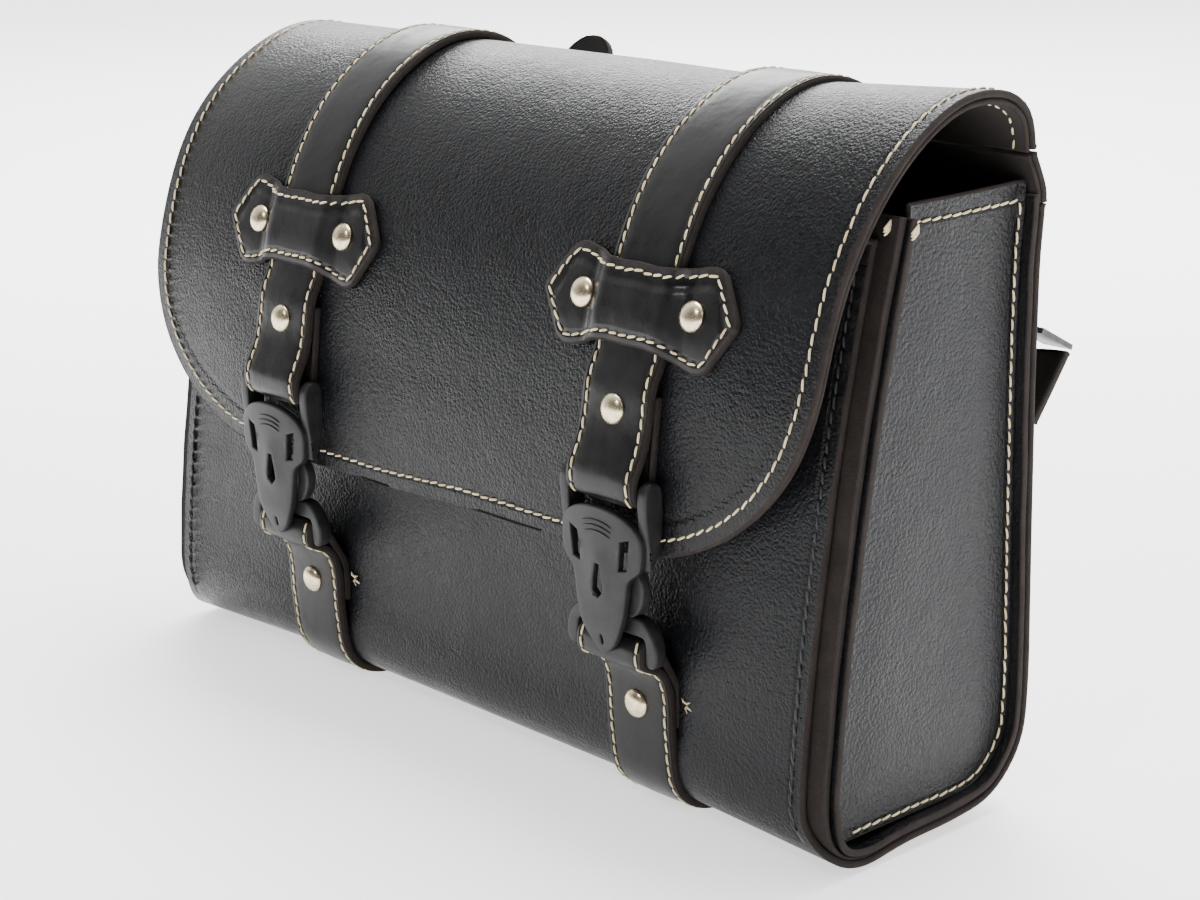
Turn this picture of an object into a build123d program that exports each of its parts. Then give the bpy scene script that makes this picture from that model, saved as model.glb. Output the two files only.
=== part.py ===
"""Leather motorcycle saddlebag: U-shaped main panel, two recessed side gussets,
wrap-over flap, two buckle straps with plastic side-release buckles and three
mounting belts on the back.  Millimetres, +Z up, +X along the bag, -Y front."""
import math
import os

from build123d import *

# ---------------------------------------------------------------- dimensions
RIM = 169.0          # half length over the gusset flanges
PANEL_F = 162.0      # half length of the front panel, cut back from the rim
PANEL_B = 168.5      # half length of the bottom and back panel
FLAP_HALF = 165.0    # half length of the flap
FLAP_R = 56.0        # radius of the flap's lower corners
FRONT_TOP = 188.0    # top edge of the front panel, under the flap
GUSSET_TOP = 194.0   # top edge of the side gussets
FLAP_LOW = 82.8      # height of the flap's lower edge
T_OUT = 2.6          # main panel leather
T_FLAP = 2.4         # flap outer leather
T_FLAP_IN = 2.2      # flap inner leather
T_STRAP = 2.8        # strap, two layers sewn together
T_PATCH = 2.4        # keeper patch
STRAP_W = 30.0       # strap width
STRAP_X = 85.0       # half the distance between the strap centres
STRAP_C = 4.0        # middle of the strap pair along the bag
BELT_W = 26.0        # mounting belt width
GAP = 0.05           # between layers of one body
HINGE = (51.8, 197.0)
Z_KEEP = 161.0       # keeper rivet height
Z_RIV = 131.0        # strap rivet height
Z_LOW = 34.0         # lower strap rivet height
BAR_T = (-58.9, 107.5)   # buckle top bar (y, z)
BAR_B = (-55.8, 56.0)    # buckle bottom bar (y, z)
BAR_R = 1.9
WRAP = 2.2           # inside radius of the strap round a bar
SHIFT = (0.0, -16.447, 2.85)    # puts the middle of the footprint at the origin, straps on z = 0

os.makedirs("parts", exist_ok=True)
DONE = []


def unit(a, b):
    l = math.hypot(a, b)
    return a / l, b / l


def offset_line(pts, dist):
    """Points of a polyline moved to its left by dist (number or one per point)."""
    n = len(pts)
    d = dist if isinstance(dist, (list, tuple)) else [dist] * n
    out = []
    for i, (y, z) in enumerate(pts):
        norms = []
        if i > 0:
            ty, tz = unit(y - pts[i - 1][0], z - pts[i - 1][1])
            norms.append((-tz, ty))
        if i < n - 1:
            ty, tz = unit(pts[i + 1][0] - y, pts[i + 1][1] - z)
            norms.append((-tz, ty))
        ny, nz = sum(v[0] for v in norms), sum(v[1] for v in norms)
        ny, nz = unit(ny, nz)
        k = 1.0 / max(0.5, ny * norms[0][0] + nz * norms[0][1])
        out.append((y + ny * d[i] * k, z + nz * d[i] * k))
    return out


def band(pts, a, b):
    """Closed outline between two offsets of a polyline."""
    pa, pb = offset_line(pts, a), offset_line(pts, b)
    return pa + pb[::-1]


def arc_pts(cy, cz, r, a0, a1, n):
    return [(cy + r * math.cos(math.radians(a0 + (a1 - a0) * i / n)),
             cz + r * math.sin(math.radians(a0 + (a1 - a0) * i / n))) for i in range(n + 1)]


def slab(outline, x0, x1):
    """Solid between x0 and x1 from an outline of (y, z) points."""
    with BuildPart() as p:
        with BuildSketch(Plane.YZ.offset(x0)):
            with BuildLine():
                Polyline(*outline, close=True)
            make_face()
        extrude(amount=x1 - x0)
    return p.part


def front_prism(outline, y0, y1):
    """Solid between y0 and y1 from an outline of (x, z) points."""
    with BuildPart() as p:
        with BuildSketch(Plane.XZ.offset(-y0)):
            with BuildLine():
                Polyline(*outline, close=True)
            make_face()
        extrude(amount=-(y1 - y0))
    return p.part


def block(x0, x1, y0, y1, z0, z1):
    with BuildPart() as p:
        with Locations(((x0 + x1) / 2, (y0 + y1) / 2, (z0 + z1) / 2)):
            Box(x1 - x0, y1 - y0, z1 - z0)
    return p.part


def rod(x0, x1, y, z, r):
    with BuildPart() as p:
        with BuildSketch(Plane.YZ.offset(x0)):
            with Locations((y, z)):
                Circle(r)
        extrude(amount=x1 - x0)
    return p.part


def save(name, shape):
    """Label, move to the shared frame and write one piece."""
    solids = [b.moved(Location(SHIFT)) for b in shape.solids()]
    body = solids[0] if len(solids) == 1 else Compound(children=solids)
    body.label = name
    export_step(body, f"parts/{name}.step")
    DONE.append((name, body))


def rivet(origin, normal, seat, grip, r_cap=4.8, h_cap=2.5, r_shank=1.5, r_back=3.6, h_back=0.9):
    """Domed rivet: cap on the outer face, shank through the layers, burr behind."""
    pl = Plane(origin=origin, z_dir=normal)
    with BuildPart() as p:
        with BuildSketch(pl.offset(seat + GAP)):
            Circle(r_cap)
        extrude(amount=0.5)
        with BuildSketch(pl.offset(seat + GAP + 0.5)):
            Circle(r_cap - 0.02)
        extrude(amount=h_cap - 0.5, taper=38)
        with BuildSketch(pl.offset(seat + GAP + 0.2)):
            Circle(r_shank)
        extrude(amount=-(grip + 2 * GAP + 0.4))
        with BuildSketch(pl.offset(seat - grip - GAP)):
            Circle(r_back)
        extrude(amount=-h_back)
    return p.part


def drill(origin, normal, reach, r=1.6):
    pl = Plane(origin=origin, z_dir=normal)
    with BuildPart() as p:
        with BuildSketch(pl.offset(reach)):
            Circle(r)
        extrude(amount=-2 * reach)
    return p.part


# ------------------------------------------------------------ base profiles
# main panel, outer surface, walked from the front top down and up the back
FRONT = [(-20.6, 195.5), (-28.1, 166.0), (-33.6, 142.0), (-39.1, 114.0),
         (-43.6, 84.0), (-45.6, 64.0), (-46.6, 44.0), (-46.6, 27.0)]
CORNER_F = arc_pts(-23.6, 23.0, 23.0, 184, 270, 8)
CORNER_B = arc_pts(21.5, 26.0, 26.0, 270, 360, 9)
BACK_TOP = [(47.5, 80.0), (47.5, 140.0), (47.5, 196.8)]
U_LINE = FRONT + CORNER_F + [(0.0, 0.0)] + CORNER_B + BACK_TOP
NF, NC = len(FRONT), len(CORNER_F)


def u_off(front, rest):
    """One offset on the front run, another on bottom and back."""
    out = []
    for i in range(len(U_LINE)):
        if i < NF:
            out.append(front)
        elif i < NF + NC:
            t = (i - NF + 1) / NC
            out.append(front + (rest - front) * t)
        else:
            out.append(rest)
    return out


# flap, outer surface, walked from the hinge over the top and down the front
FLAP_LINE = [(47.5, 197.2), (47.2, 204.0), (44.6, 211.0), (39.0, 216.8), (30.0, 220.8),
             (19.0, 222.2), (8.0, 220.6), (-3.2, 216.0), (-14.0, 209.0), (-23.6, 200.0),
             (-31.6, 189.4), (-38.2, 177.0), (-43.6, 163.6), (-47.8, 149.0),
             (-50.2, 137.5), (-53.2, 114.0), (-54.2, 97.0), (-54.4, FLAP_LOW)]
# walked in this direction the outer side is on the right, so inward is positive left


def on_flap(z):
    """Outer surface y and outward normal of the flap's front at height z."""
    for (y0, z0), (y1, z1) in zip(FLAP_LINE[5:-1], FLAP_LINE[6:]):
        if z1 <= z <= z0:
            t = (z0 - z) / (z0 - z1)
            ty, tz = unit(y1 - y0, z1 - z0)
            return y0 + (y1 - y0) * t, (tz, -ty)
    raise ValueError(z)


def on_front(z):
    for (y0, z0), (y1, z1) in zip(FRONT[:-1], FRONT[1:]):
        if z1 <= z <= z0:
            t = (z0 - z) / (z0 - z1)
            ty, tz = unit(y1 - y0, z1 - z0)
            return y0 + (y1 - y0) * t, (tz, -ty)
    raise ValueError(z)


def along(y, z, n, d):
    """Point (y, z) moved d along the outward normal n."""
    return y + n[0] * d, z + n[1] * d


# ------------------------------------------------------------------ the bag
main_panel = slab(band(U_LINE, 0.0, T_OUT), -PANEL_B, PANEL_B)
main_panel -= block(-200.0, 200.0, -60.0, 0.0, FRONT_TOP, 230.0)
for s in (-1, 1):
    main_panel -= front_prism(
        [(s * PANEL_F, 200), (s * 175, 200), (s * 175, -5), (s * (PANEL_B + 0.5), 1.0),
         (s * (PANEL_F + 2.2), 7.0), (s * PANEL_F, 16.0)][::s], -60.0, -12.0)

lining = slab(band(U_LINE, T_OUT + GAP, T_OUT + 1.0), -157.0, 157.0)
lining -= block(-200.0, 200.0, -60.0, 0.0, FRONT_TOP - 4.0, 230.0)

back_in = offset_line(U_LINE, T_OUT + 1.0 + GAP)
back_board = block(-156.0, 156.0, 47.5 - T_OUT - 1.05 - 2.0, 47.5 - T_OUT - 1.05, 30.0, 186.0)
bottom_board = block(-156.0, 156.0, -20.0, 19.0, T_OUT + 1.05, T_OUT + 3.05)

gussets, welts, fillers = {}, {}, {}
for side, s in (("left", -1), ("right", 1)):
    x0, x1 = sorted((s * 162.0, s * RIM))
    flange = slab(band(U_LINE, u_off(7.05, 3.95), u_off(9.45, 6.35)), x0, x1)
    inner = offset_line(U_LINE, u_off(7.05, 3.95))
    inner = [p for p in inner if p[1] <= GUSSET_TOP]
    top_f = offset_line(U_LINE, u_off(7.05, 3.95))[0]
    outline = [(top_f[0] - 0.3, GUSSET_TOP)] + inner + [(43.55, GUSSET_TOP)]
    p0, p1 = sorted((s * 162.0, s * 164.2))
    panel = slab(outline, p0, p1)
    g = flange + panel
    g -= block(-175, 175, -60, 60, GUSSET_TOP, 230.0)
    gussets[side] = g
    w0, w1 = sorted((s * 158.0, s * 165.3))
    w = slab(band(U_LINE, T_OUT + GAP, u_off(4.6, 3.9)), w0, w1)
    w -= block(-175, 175, -60, 60, GUSSET_TOP, 230.0)
    e0, e1 = sorted((s * 165.25, s * 168.0))
    tail = slab(band(U_LINE, T_OUT + GAP, u_off(4.6, 3.9)), e0, e1)
    tail -= block(-175, 175, -60, -24, -5.0, 230.0)
    tail -= block(-175, 175, -60, 60, GUSSET_TOP, 230.0)
    welts[side] = w + tail
    f0, f1 = sorted((s * 158.2, s * 167.2))
    nb = NF + NC - 2
    part_line = U_LINE[:nb]
    lo = u_off(4.65, 3.95)[:nb]
    hi = u_off(6.95, 3.9)[:nb]
    hi = [max(h, l + 0.15) - 0.0 for h, l in zip(hi, lo)]
    fl = slab(band(part_line, lo, [min(h, a - 0.08) for h, a in zip(hi, u_off(7.05, 3.95)[:nb])]), f0, f1)
    fl -= block(-175, 175, -60, 60, GUSSET_TOP, 230.0)
    fillers[side] = fl

for side in ("left", "right"):
    save(f"gusset_{side}", gussets[side])
    save(f"welt_{side}", welts[side])
    save(f"welt_front_{side}", fillers[side])
save("body_lining", lining)
save("back_board", back_board)
save("bottom_board", bottom_board)

# ------------------------------------------------------------------ the flap
flap_outer = slab(band(FLAP_LINE, 0.0, T_FLAP), -FLAP_HALF, FLAP_HALF)
flap_inner = slab(band(FLAP_LINE, T_FLAP + GAP, T_FLAP + GAP + T_FLAP_IN), -FLAP_HALF, FLAP_HALF)
for s in (-1, 1):
    arc = [(s * (FLAP_HALF - FLAP_R + FLAP_R * math.cos(math.radians(a))),
            FLAP_LOW + FLAP_R - FLAP_R * math.sin(math.radians(a))) for a in range(0, 91, 9)]
    corner = front_prism((arc + [(s * (FLAP_HALF - FLAP_R), FLAP_LOW - 10), (s * 190, FLAP_LOW - 10),
                                 (s * 190, FLAP_LOW + FLAP_R)])[::-s], -80.0, -20.0)
    flap_outer -= corner
    flap_inner -= corner

# ------------------------------------------------------- straps over the flap
def pf(z, d):
    """Point at distance d in front of the flap at height z."""
    y, n = on_flap(z)
    return along(y, z, n, d)


def pp(z, d):
    """Point at distance d in front of the front panel at height z."""
    y, n = on_front(z)
    return along(y, z, n, d)


upper, patches, lower = {}, {}, {}
rivets_keep, rivets_strap, rivets_low, rivets_belt = [], [], [], []
R_OUT = WRAP + T_STRAP
for side, s in (("left", -1), ("right", 1)):
    cx = STRAP_C + s * STRAP_X
    x0, x1 = cx - STRAP_W / 2, cx + STRAP_W / 2
    by, bz = BAR_T
    # over the top and down to the keeper, off the flap to the rivet, out to the bar
    over = [p for p in FLAP_LINE if p[1] > 148.0 or p[0] > 0]
    inner = offset_line(FLAP_LINE, -GAP)[:len(over)] + [
        pf(147.0, GAP), pf(145.6, GAP), pf(138.6, 3.0), pf(131.0, 2.94), pf(125.9, 2.94), pf(119.5, 3.7),
        (by - WRAP, bz + 2.5), (by - WRAP, bz - 0.3)]
    front = slab(inner + offset_line(inner, -T_STRAP)[::-1], x0, x1)
    ring = slab(arc_pts(by, bz, R_OUT, 180, 360, 13) + arc_pts(by, bz, WRAP, 360, 180, 13), x0, x1)
    back = slab([(by + WRAP, bz), (by + R_OUT, bz), pf(114.0, 0.08), pf(125.0, GAP), pf(136.4, GAP),
                 pf(136.4, T_STRAP), pf(125.0, T_STRAP), pf(114.0, T_STRAP + 0.06)], x0, x1)
    strap = front + ring + back
    y, n = on_flap(Z_RIV)
    o = (cx, y, Z_RIV)
    nv = (0, n[0], n[1])
    strap -= drill(o, nv, 9.0)
    upper[side] = strap
    rivets_strap.append(rivet(o, nv, 2.92 + T_STRAP + 0.05, 5.2, r_back=1.5, h_back=0.3))
    # keeper patch: two lobes on the flap, bridge over the strap
    half = [(0, 12.4), (8, 12.0), (15, 12.6), (22, 14.6), (29, 15.6), (33, 14.0), (42.5, 1.0),
            (33, -15.0), (29, -16.6), (22, -15.6), (15, -13.2), (8, -12.4), (0, -12.6)]
    outline = [(cx + a, Z_KEEP + b) for a, b in half] + [(cx - a, Z_KEEP + b) for a, b in half[-2:0:-1]]
    form = front_prism(outline, -68.0, -30.0)
    lobes = slab(band(FLAP_LINE, -(T_PATCH + GAP), -GAP), cx - 44, cx + 44) \
        - block(cx - 15.3, cx + 15.3, -80, 60, 100, 240)
    walls = slab(band(FLAP_LINE, -(T_STRAP + T_PATCH + 0.2), -GAP), cx - 17.7, cx + 17.7) \
        - block(cx - 15.3, cx + 15.3, -80, 60, 100, 240)
    bridge = slab(band(FLAP_LINE, -(T_STRAP + T_PATCH + 0.2), -(T_STRAP + 0.2)), cx - 17.7, cx + 17.7)
    patch = (lobes + walls + bridge) & form
    for k in (-1, 1):
        y, n = on_flap(Z_KEEP)
        o = (cx + k * 24.0, y, Z_KEEP)
        nv = (0, n[0], n[1])
        patch -= drill(o, nv, 9.0)
        flap_outer -= drill(o, nv, 9.0)
        flap_inner -= drill(o, nv, 9.0)
        rivets_keep.append(rivet(o, nv, T_PATCH + GAP, T_PATCH + 2 * GAP + T_FLAP + GAP + T_FLAP_IN + 0.45))
    patches[side] = patch
    # lower strap: round the bottom bar, riveted to itself, down and under the bag
    by, bz = BAR_B
    corner = offset_line(U_LINE, -GAP)[NF:NF + NC]
    inner = [(by - WRAP, bz + 0.3), (by - WRAP, bz - 2.5), pp(45.0, 3.6), pp(40.0, 2.98), pp(34.0, 2.94), pp(28.5, 2.94)] + corner + [(20.0, -GAP)]
    front = slab(inner + offset_line(inner, -T_STRAP)[::-1], x0, x1)
    ring = slab(arc_pts(by, bz, R_OUT, 180, 0, 13) + arc_pts(by, bz, WRAP, 0, 180, 13), x0, x1)
    back = slab([(by + WRAP, bz), pp(44.0, T_STRAP + 0.1), pp(40.0, T_STRAP), pp(29.0, T_STRAP),
                 pp(29.0, GAP), pp(40.0, GAP), pp(44.0, 0.1), (by + R_OUT, bz)], x0, x1)
    strap = front + ring + back
    y, n = on_front(Z_LOW)
    o = (cx, y, Z_LOW)
    nv = (0, n[0], n[1])
    strap -= drill(o, nv, 9.0)
    lower[side] = strap
    rivets_low.append(rivet(o, nv, 2.92 + T_STRAP + 0.05, 5.2, r_back=1.5, h_back=0.3))

save("main_panel", main_panel)
save("flap_outer", flap_outer)
save("flap_inner", flap_inner)
for side in ("left", "right"):
    save(f"strap_upper_{side}", upper[side])
    save(f"keeper_{side}", patches[side])
    save(f"strap_lower_{side}", lower[side])
save("rivets_keeper", Compound(children=rivets_keep))
save("rivets_strap_upper", Compound(children=rivets_strap))
save("rivets_strap_lower", Compound(children=rivets_low))

# ------------------------------------------------------------ plastic buckles
DY, DZ = -5.2, 3.0             # buckle frame against the bag frame
Y_F, Y_B = -58.6 + DY, -56.0 + DY   # face plate front and back
HALF = [(0, 98.6), (6, 98.1), (12, 96.4), (16.0, 93.8), (17.6, 91.0), (17.6, 82.4), (15.6, 79.6),
        (12.6, 78.0), (11.4, 75.0), (10.4, 70.0), (9.4, 64.5), (7.0, 59.0), (3.6, 54.0), (0, 51.2)]
for side, s in (("left", -1), ("right", 1)):
    cx = STRAP_C + s * STRAP_X
    by, bz = BAR_T
    plate = front_prism([(cx + a, b + DZ) for a, b in HALF] + [(cx - a, b + DZ) for a, b in HALF[-2:0:-1]], Y_F, Y_B)
    for k in (-1, 1):
        plate -= front_prism([(cx + k * a, b + DZ) for a, b in
                              ((7.4, 80.6), (12.4, 81.4), (13.6, 89.6), (8.6, 88.4))][::k], -70, -55)
    plate -= front_prism([(cx + a, b + DZ) for a, b in ((-1.1, 79.4), (1.1, 79.4), (3.0, 71.4), (0.0, 69.8), (-3.0, 71.4))], -70, -55)
    with BuildPart() as tip_hole:
        with BuildSketch(Plane.XZ.offset(70)):
            with Locations((cx, 55.6 + DZ)):
                SlotOverall(3.2, 1.2, rotation=90)
        extrude(amount=-15)
    plate -= tip_hole.part
    # grip ridges following the arched top
    for j in range(3):
        zc = 95.4 + DZ - 2.1 * j
        w = 12.5 - 1.2 * j
        pts_up = [(cx + w * t, zc - 2.6 * t * t) for t in (-1, -0.66, -0.33, 0, 0.33, 0.66, 1)]
        pts_dn = [(a, b - 0.8) for a, b in pts_up[::-1]]
        plate += front_prism(pts_up + pts_dn, Y_F - 0.6, Y_F + 0.2)
    cover = plate
    for k in (-1, 1):
        wx0, wx1 = sorted((cx + k * 15.4, cx + k * 17.6))
        lx0, lx1 = sorted((cx + k * 15.4, cx + k * 19.2))
        wall = slab([(p + DY, q + DZ) for p, q in ((-58.6, 82.6), (-58.6, 98.0), (-57.5, 104.5), (-49.9, 104.5), (-49.9, 95.0), (-52.2, 86.0), (-56.0, 82.6))], wx0, wx1)
        lug = rod(lx0, lx1, by, bz, 3.8)
        cheek = slab([(p + DY, q + DZ) for p, q in ((-57.5, 104.5), (-58.4, 97.0), (-56.0, 94.0), (-51.0, 94.0), (-49.9, 97.0), (-49.9, 104.5))], lx0, lx1)
        cover = cover + wall + lug + cheek
    cover += rod(cx - 15.8, cx + 15.8, by, bz, BAR_R)
    save(f"buckle_cover_{side}", cover)
    # lower half
    by, bz = BAR_B
    base = block(cx - 13.5, cx + 13.5, -54.0 + DY, -49.6 + DY, 58.4 + DZ, 64.5 + DZ)
    for k in (-1, 1):
        base += front_prism([(cx + k * a, b + DZ) for a, b in
                             ((10.0, 58.4), (15.4, 58.4), (15.4, 50.0), (18.6, 49.4), (20.2, 52.6),
                              (19.6, 57.0), (17.0, 61.5), (13.4, 64.5), (10.0, 64.5))][::-k], -54.0 + DY, -49.6 + DY)
        lx0, lx1 = sorted((cx + k * 15.4, cx + k * 19.0))
        base += rod(lx0, lx1, by, bz, 3.6)
    base += rod(cx - 15.8, cx + 15.8, by, bz, BAR_R)
    base += block(cx - 1.6, cx + 1.6, -54.0 + DY, -51.6 + DY, 64.4 + DZ, 78.6 + DZ)
    save(f"buckle_base_{side}", base)
    for k, arm_name in ((-1, "a"), (1, "b")):
        arm = front_prism([(cx + k * a, b + DZ) for a, b in
                           ((7.2, 64.9), (10.4, 64.9), (12.8, 67.4), (14.4, 70.6), (14.9, 73.6), (14.2, 76.8),
                            (12.6, 79.4), (12.0, 81.6), (9.6, 81.6), (9.4, 72.0), (7.4, 67.0))][::-k], -54.0 + DY, -51.5 + DY)
        nx0, nx1 = sorted((cx + k * 9.8, cx + k * 12.0))
        arm += slab([(p + DY, q + DZ) for p, q in ((-52.5, 79.0), (-55.6, 79.0), (-55.6, 83.2), (-57.2, 83.2),
                     (-57.2, 84.5), (-55.1, 84.5), (-52.5, 82.0))], nx0, nx1)
        save(f"buckle_arm_{side}_{arm_name}", arm)

# --------------------------------------------------------------- back pieces
YB = 47.5
for side, s in (("left", -1), ("right", 1)):
    cx = STRAP_C + s * STRAP_X
    tail = block(cx - STRAP_W / 2, cx + STRAP_W / 2, YB + GAP, YB + GAP + T_STRAP, 152.0, 196.8)
    save(f"strap_tail_{side}", tail)
T_BELT = 3.0
for side, s, tip, root in (("left", -1, (90.0, 212.0), (51.4, 146.0)), ("right", 1, (95.0, 201.0), (51.8, 148.0))):
    cx = STRAP_C + s * STRAP_X
    x0, x1 = cx - BELT_W / 2, cx + BELT_W / 2
    by, bz = YB + GAP + 2.3 + T_BELT, 36.0
    path = [(YB + GAP, bz), (YB + GAP, 136.5), root, tip]
    belt = slab(path + offset_line(path, -T_BELT)[::-1], x0, x1)
    ty, tz = unit(tip[0] - root[0], tip[1] - root[1])
    # rounded end
    r = BELT_W / 2
    pl = Plane(origin=(cx, tip[0] - ty * r, tip[1] - tz * r), x_dir=(1, 0, 0), z_dir=(0, -tz, ty))
    with BuildPart() as cut:
        with BuildSketch(pl.offset(-8)):
            with Locations((0, (r + 4) / 2)):
                Rectangle(BELT_W + 6, r + 4)
            Circle(r - 0.05, mode=Mode.SUBTRACT)
        extrude(amount=16)
    belt -= cut.part
    for i in range(4):
        q = (cx, tip[0] - ty * (20 + 11 * i), tip[1] - tz * (20 + 11 * i))
        belt -= drill(q, (0, tz, -ty), 8.0, 2.0)
    # fold round the buckle bar, doubled back and riveted
    ring = slab(arc_pts(by, bz, 2.3 + T_BELT, 180, 370, 14) + arc_pts(by, bz, 2.3, 370, 180, 14), x0, x1)
    lay = slab([(by + 2.3, bz), (YB + GAP + T_BELT + 0.05, 47.0), (YB + GAP + T_BELT + 0.05, 62.0),
                (YB + GAP + 2 * T_BELT + 0.05, 62.0), (YB + GAP + 2 * T_BELT + 0.05, 48.0),
                (by + 2.3 + T_BELT, bz)], x0, x1)
    belt = belt + ring + lay
    belt -= block(cx - 2.3, cx + 2.3, YB + GAP + 1.4, 75.0, 28.0, 43.0)
    belt -= block(cx - 2.3, cx + 2.3, YB - 1, 75.0, 28.0, 34.5)
    o = (cx, YB, 55.0)
    belt -= drill(o, (0, 1, 0), 9.0)
    o2 = (cx, YB, 88.0)
    belt -= drill(o2, (0, 1, 0), 9.0)
    save(f"belt_{side}", belt)
    rivets_belt.append(rivet(o, (0, 1, 0), GAP + 2 * T_BELT + 0.05, 5.6, r_back=1.5, h_back=0.3))
    rivets_belt.append(rivet(o2, (0, 1, 0), GAP + T_BELT, 2.6, r_back=1.5, h_back=0.3))
    with BuildPart() as ring_frame:
        with BuildSketch(Plane.XZ.offset(-by - 1.8)):
            with Locations((cx, bz - 10.9)):
                RectangleRounded(36.4, 26.2, 3.0)
            with Locations((cx, bz - 8.4)):
                Rectangle(28.8, 24.0, mode=Mode.SUBTRACT)
        extrude(amount=3.6)
        fillet(ring_frame.edges().filter_by(Axis.Z), 0.8)
    frame = ring_frame.part + rod(cx - 14.6, cx + 14.6, by, bz, 2.0)
    save(f"belt_buckle_{side}", frame)
    prong = rod(cx - 1.7, cx + 1.7, by, bz, 3.6)
    prong += slab([(by + 0.5, bz - 3.0), (by + 3.4, bz), (by + 4.3, bz - 4.0), (by + 4.3, bz - 24.4),
                   (by + 3.6, bz - 24.8), (by + 2.1, bz - 24.0), (by + 2.1, bz - 3.0)], cx - 1.5, cx + 1.5)
    prong -= rod(cx - 3, cx + 3, by, bz, 2.06)
    save(f"belt_prong_{side}", prong)

# cross belt, its right end turned out from the back, and its two loops
flat = block(-146.0, 106.0, YB + 3.15, YB + 6.15, 106.0, 132.0)
c = (76.5, 123.5)
a = math.radians(38.0)
ux, uz = math.sin(a), math.cos(a)
q = [(c[0] + i * 13 * ux + j * 1.5 * uz, c[1] + i * 13 * uz - j * 1.5 * ux) for i, j in ((-1, -1), (-1, 1), (1, 1), (1, -1))]
with BuildPart() as turned:
    with BuildSketch(Plane.YZ.offset(106.0)):
        with BuildLine():
            Polyline((YB + 3.15, 106.0), (YB + 6.15, 106.0), (YB + 6.15, 132.0), (YB + 3.15, 132.0), close=True)
        make_face()
    with BuildSketch(Plane.YZ.offset(150.0)):
        with BuildLine():
            Polyline(*q, close=True)
        make_face()
    loft(ruled=True)
cross = flat + turned.part
save("belt_cross", cross)
top = (c[0] + 13 * ux, c[1] + 13 * uz)
hook = slab([(top[0] + 1.6, top[1] + 0.4), (top[0] + 2.2, top[1] + 2.0), (top[0] - 13.0, top[1] + 10.2), (top[0] - 14.0, top[1] + 8.6)], 138.5, 150.0)
save("belt_hook", hook)
for side, x in (("left", -140.0), ("mid", 4.0), ("right", 62.0)):
    lx0, lx1 = x - 7.0, x + 7.0
    lp = block(lx0, lx1, YB + GAP, YB + 8.2, 103.4, 134.6) - block(lx0 - 1, lx1 + 1, YB - 1, YB + 6.25, 105.7, 132.3)
    lp += block(lx0, lx1, YB + GAP, YB + 2.0, 96.0, 103.6) + block(lx0, lx1, YB + GAP, YB + 2.0, 134.4, 142.0)
    save(f"belt_loop_{side}", lp)
save("rivets_belt", Compound(children=rivets_belt))

whole = Compound(children=[b for _, b in DONE])
bb = whole.bounding_box()
print("nodes", len(DONE), "bbox", [round(v, 2) for v in (bb.min.X, bb.min.Y, bb.min.Z, bb.max.X, bb.max.Y, bb.max.Z)],
      "centre y", round((bb.min.Y + bb.max.Y) / 2, 3))
for nme, b in DONE:
    n = len(b.solids())
    if n != 1:
        print(nme, n, "solids", [round(q.volume, 1) for q in b.solids()])
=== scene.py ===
import math
import random

import bpy
import bmesh
import numpy as np
from mathutils import Matrix, Vector


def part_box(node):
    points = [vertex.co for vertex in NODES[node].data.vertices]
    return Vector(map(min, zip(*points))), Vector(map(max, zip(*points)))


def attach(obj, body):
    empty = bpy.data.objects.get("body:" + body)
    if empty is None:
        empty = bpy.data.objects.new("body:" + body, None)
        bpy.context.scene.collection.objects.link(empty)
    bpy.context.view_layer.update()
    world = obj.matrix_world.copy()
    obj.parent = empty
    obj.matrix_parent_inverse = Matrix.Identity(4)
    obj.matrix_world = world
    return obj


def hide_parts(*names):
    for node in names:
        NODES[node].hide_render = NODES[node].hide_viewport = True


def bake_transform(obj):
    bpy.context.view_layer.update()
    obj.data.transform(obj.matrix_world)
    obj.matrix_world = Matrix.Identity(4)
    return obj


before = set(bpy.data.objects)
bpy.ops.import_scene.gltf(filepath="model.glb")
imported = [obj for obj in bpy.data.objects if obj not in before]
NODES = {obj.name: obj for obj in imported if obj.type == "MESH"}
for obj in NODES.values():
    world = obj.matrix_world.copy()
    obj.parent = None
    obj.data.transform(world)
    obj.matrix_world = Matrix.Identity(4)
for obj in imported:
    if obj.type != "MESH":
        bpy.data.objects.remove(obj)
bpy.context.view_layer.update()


# ------------------------------------------------------------------ frame
# millimetres of the pattern pieces -> metres of the shared frame
_lo, _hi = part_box("main_panel")
SY = _hi.y * 1000.0 - 47.5
SZ = _lo.z * 1000.0
_l, _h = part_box("strap_lower_left")
_l2, _h2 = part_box("strap_lower_right")
CX = {"left": (_l.x + _h.x) * 500.0, "right": (_l2.x + _h2.x) * 500.0}
SIDES = (("left", -1), ("right", 1))


def row(a):
    a = np.asarray(a, float)
    return (a + np.array([0.0, SY, SZ])) * 0.001


# ------------------------------------------------------------- profiles
def arc_pts(cy, cz, r, a0, a1, n):
    return [(cy + r * math.cos(math.radians(a0 + (a1 - a0) * i / n)),
             cz + r * math.sin(math.radians(a0 + (a1 - a0) * i / n))) for i in range(n + 1)]


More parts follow.
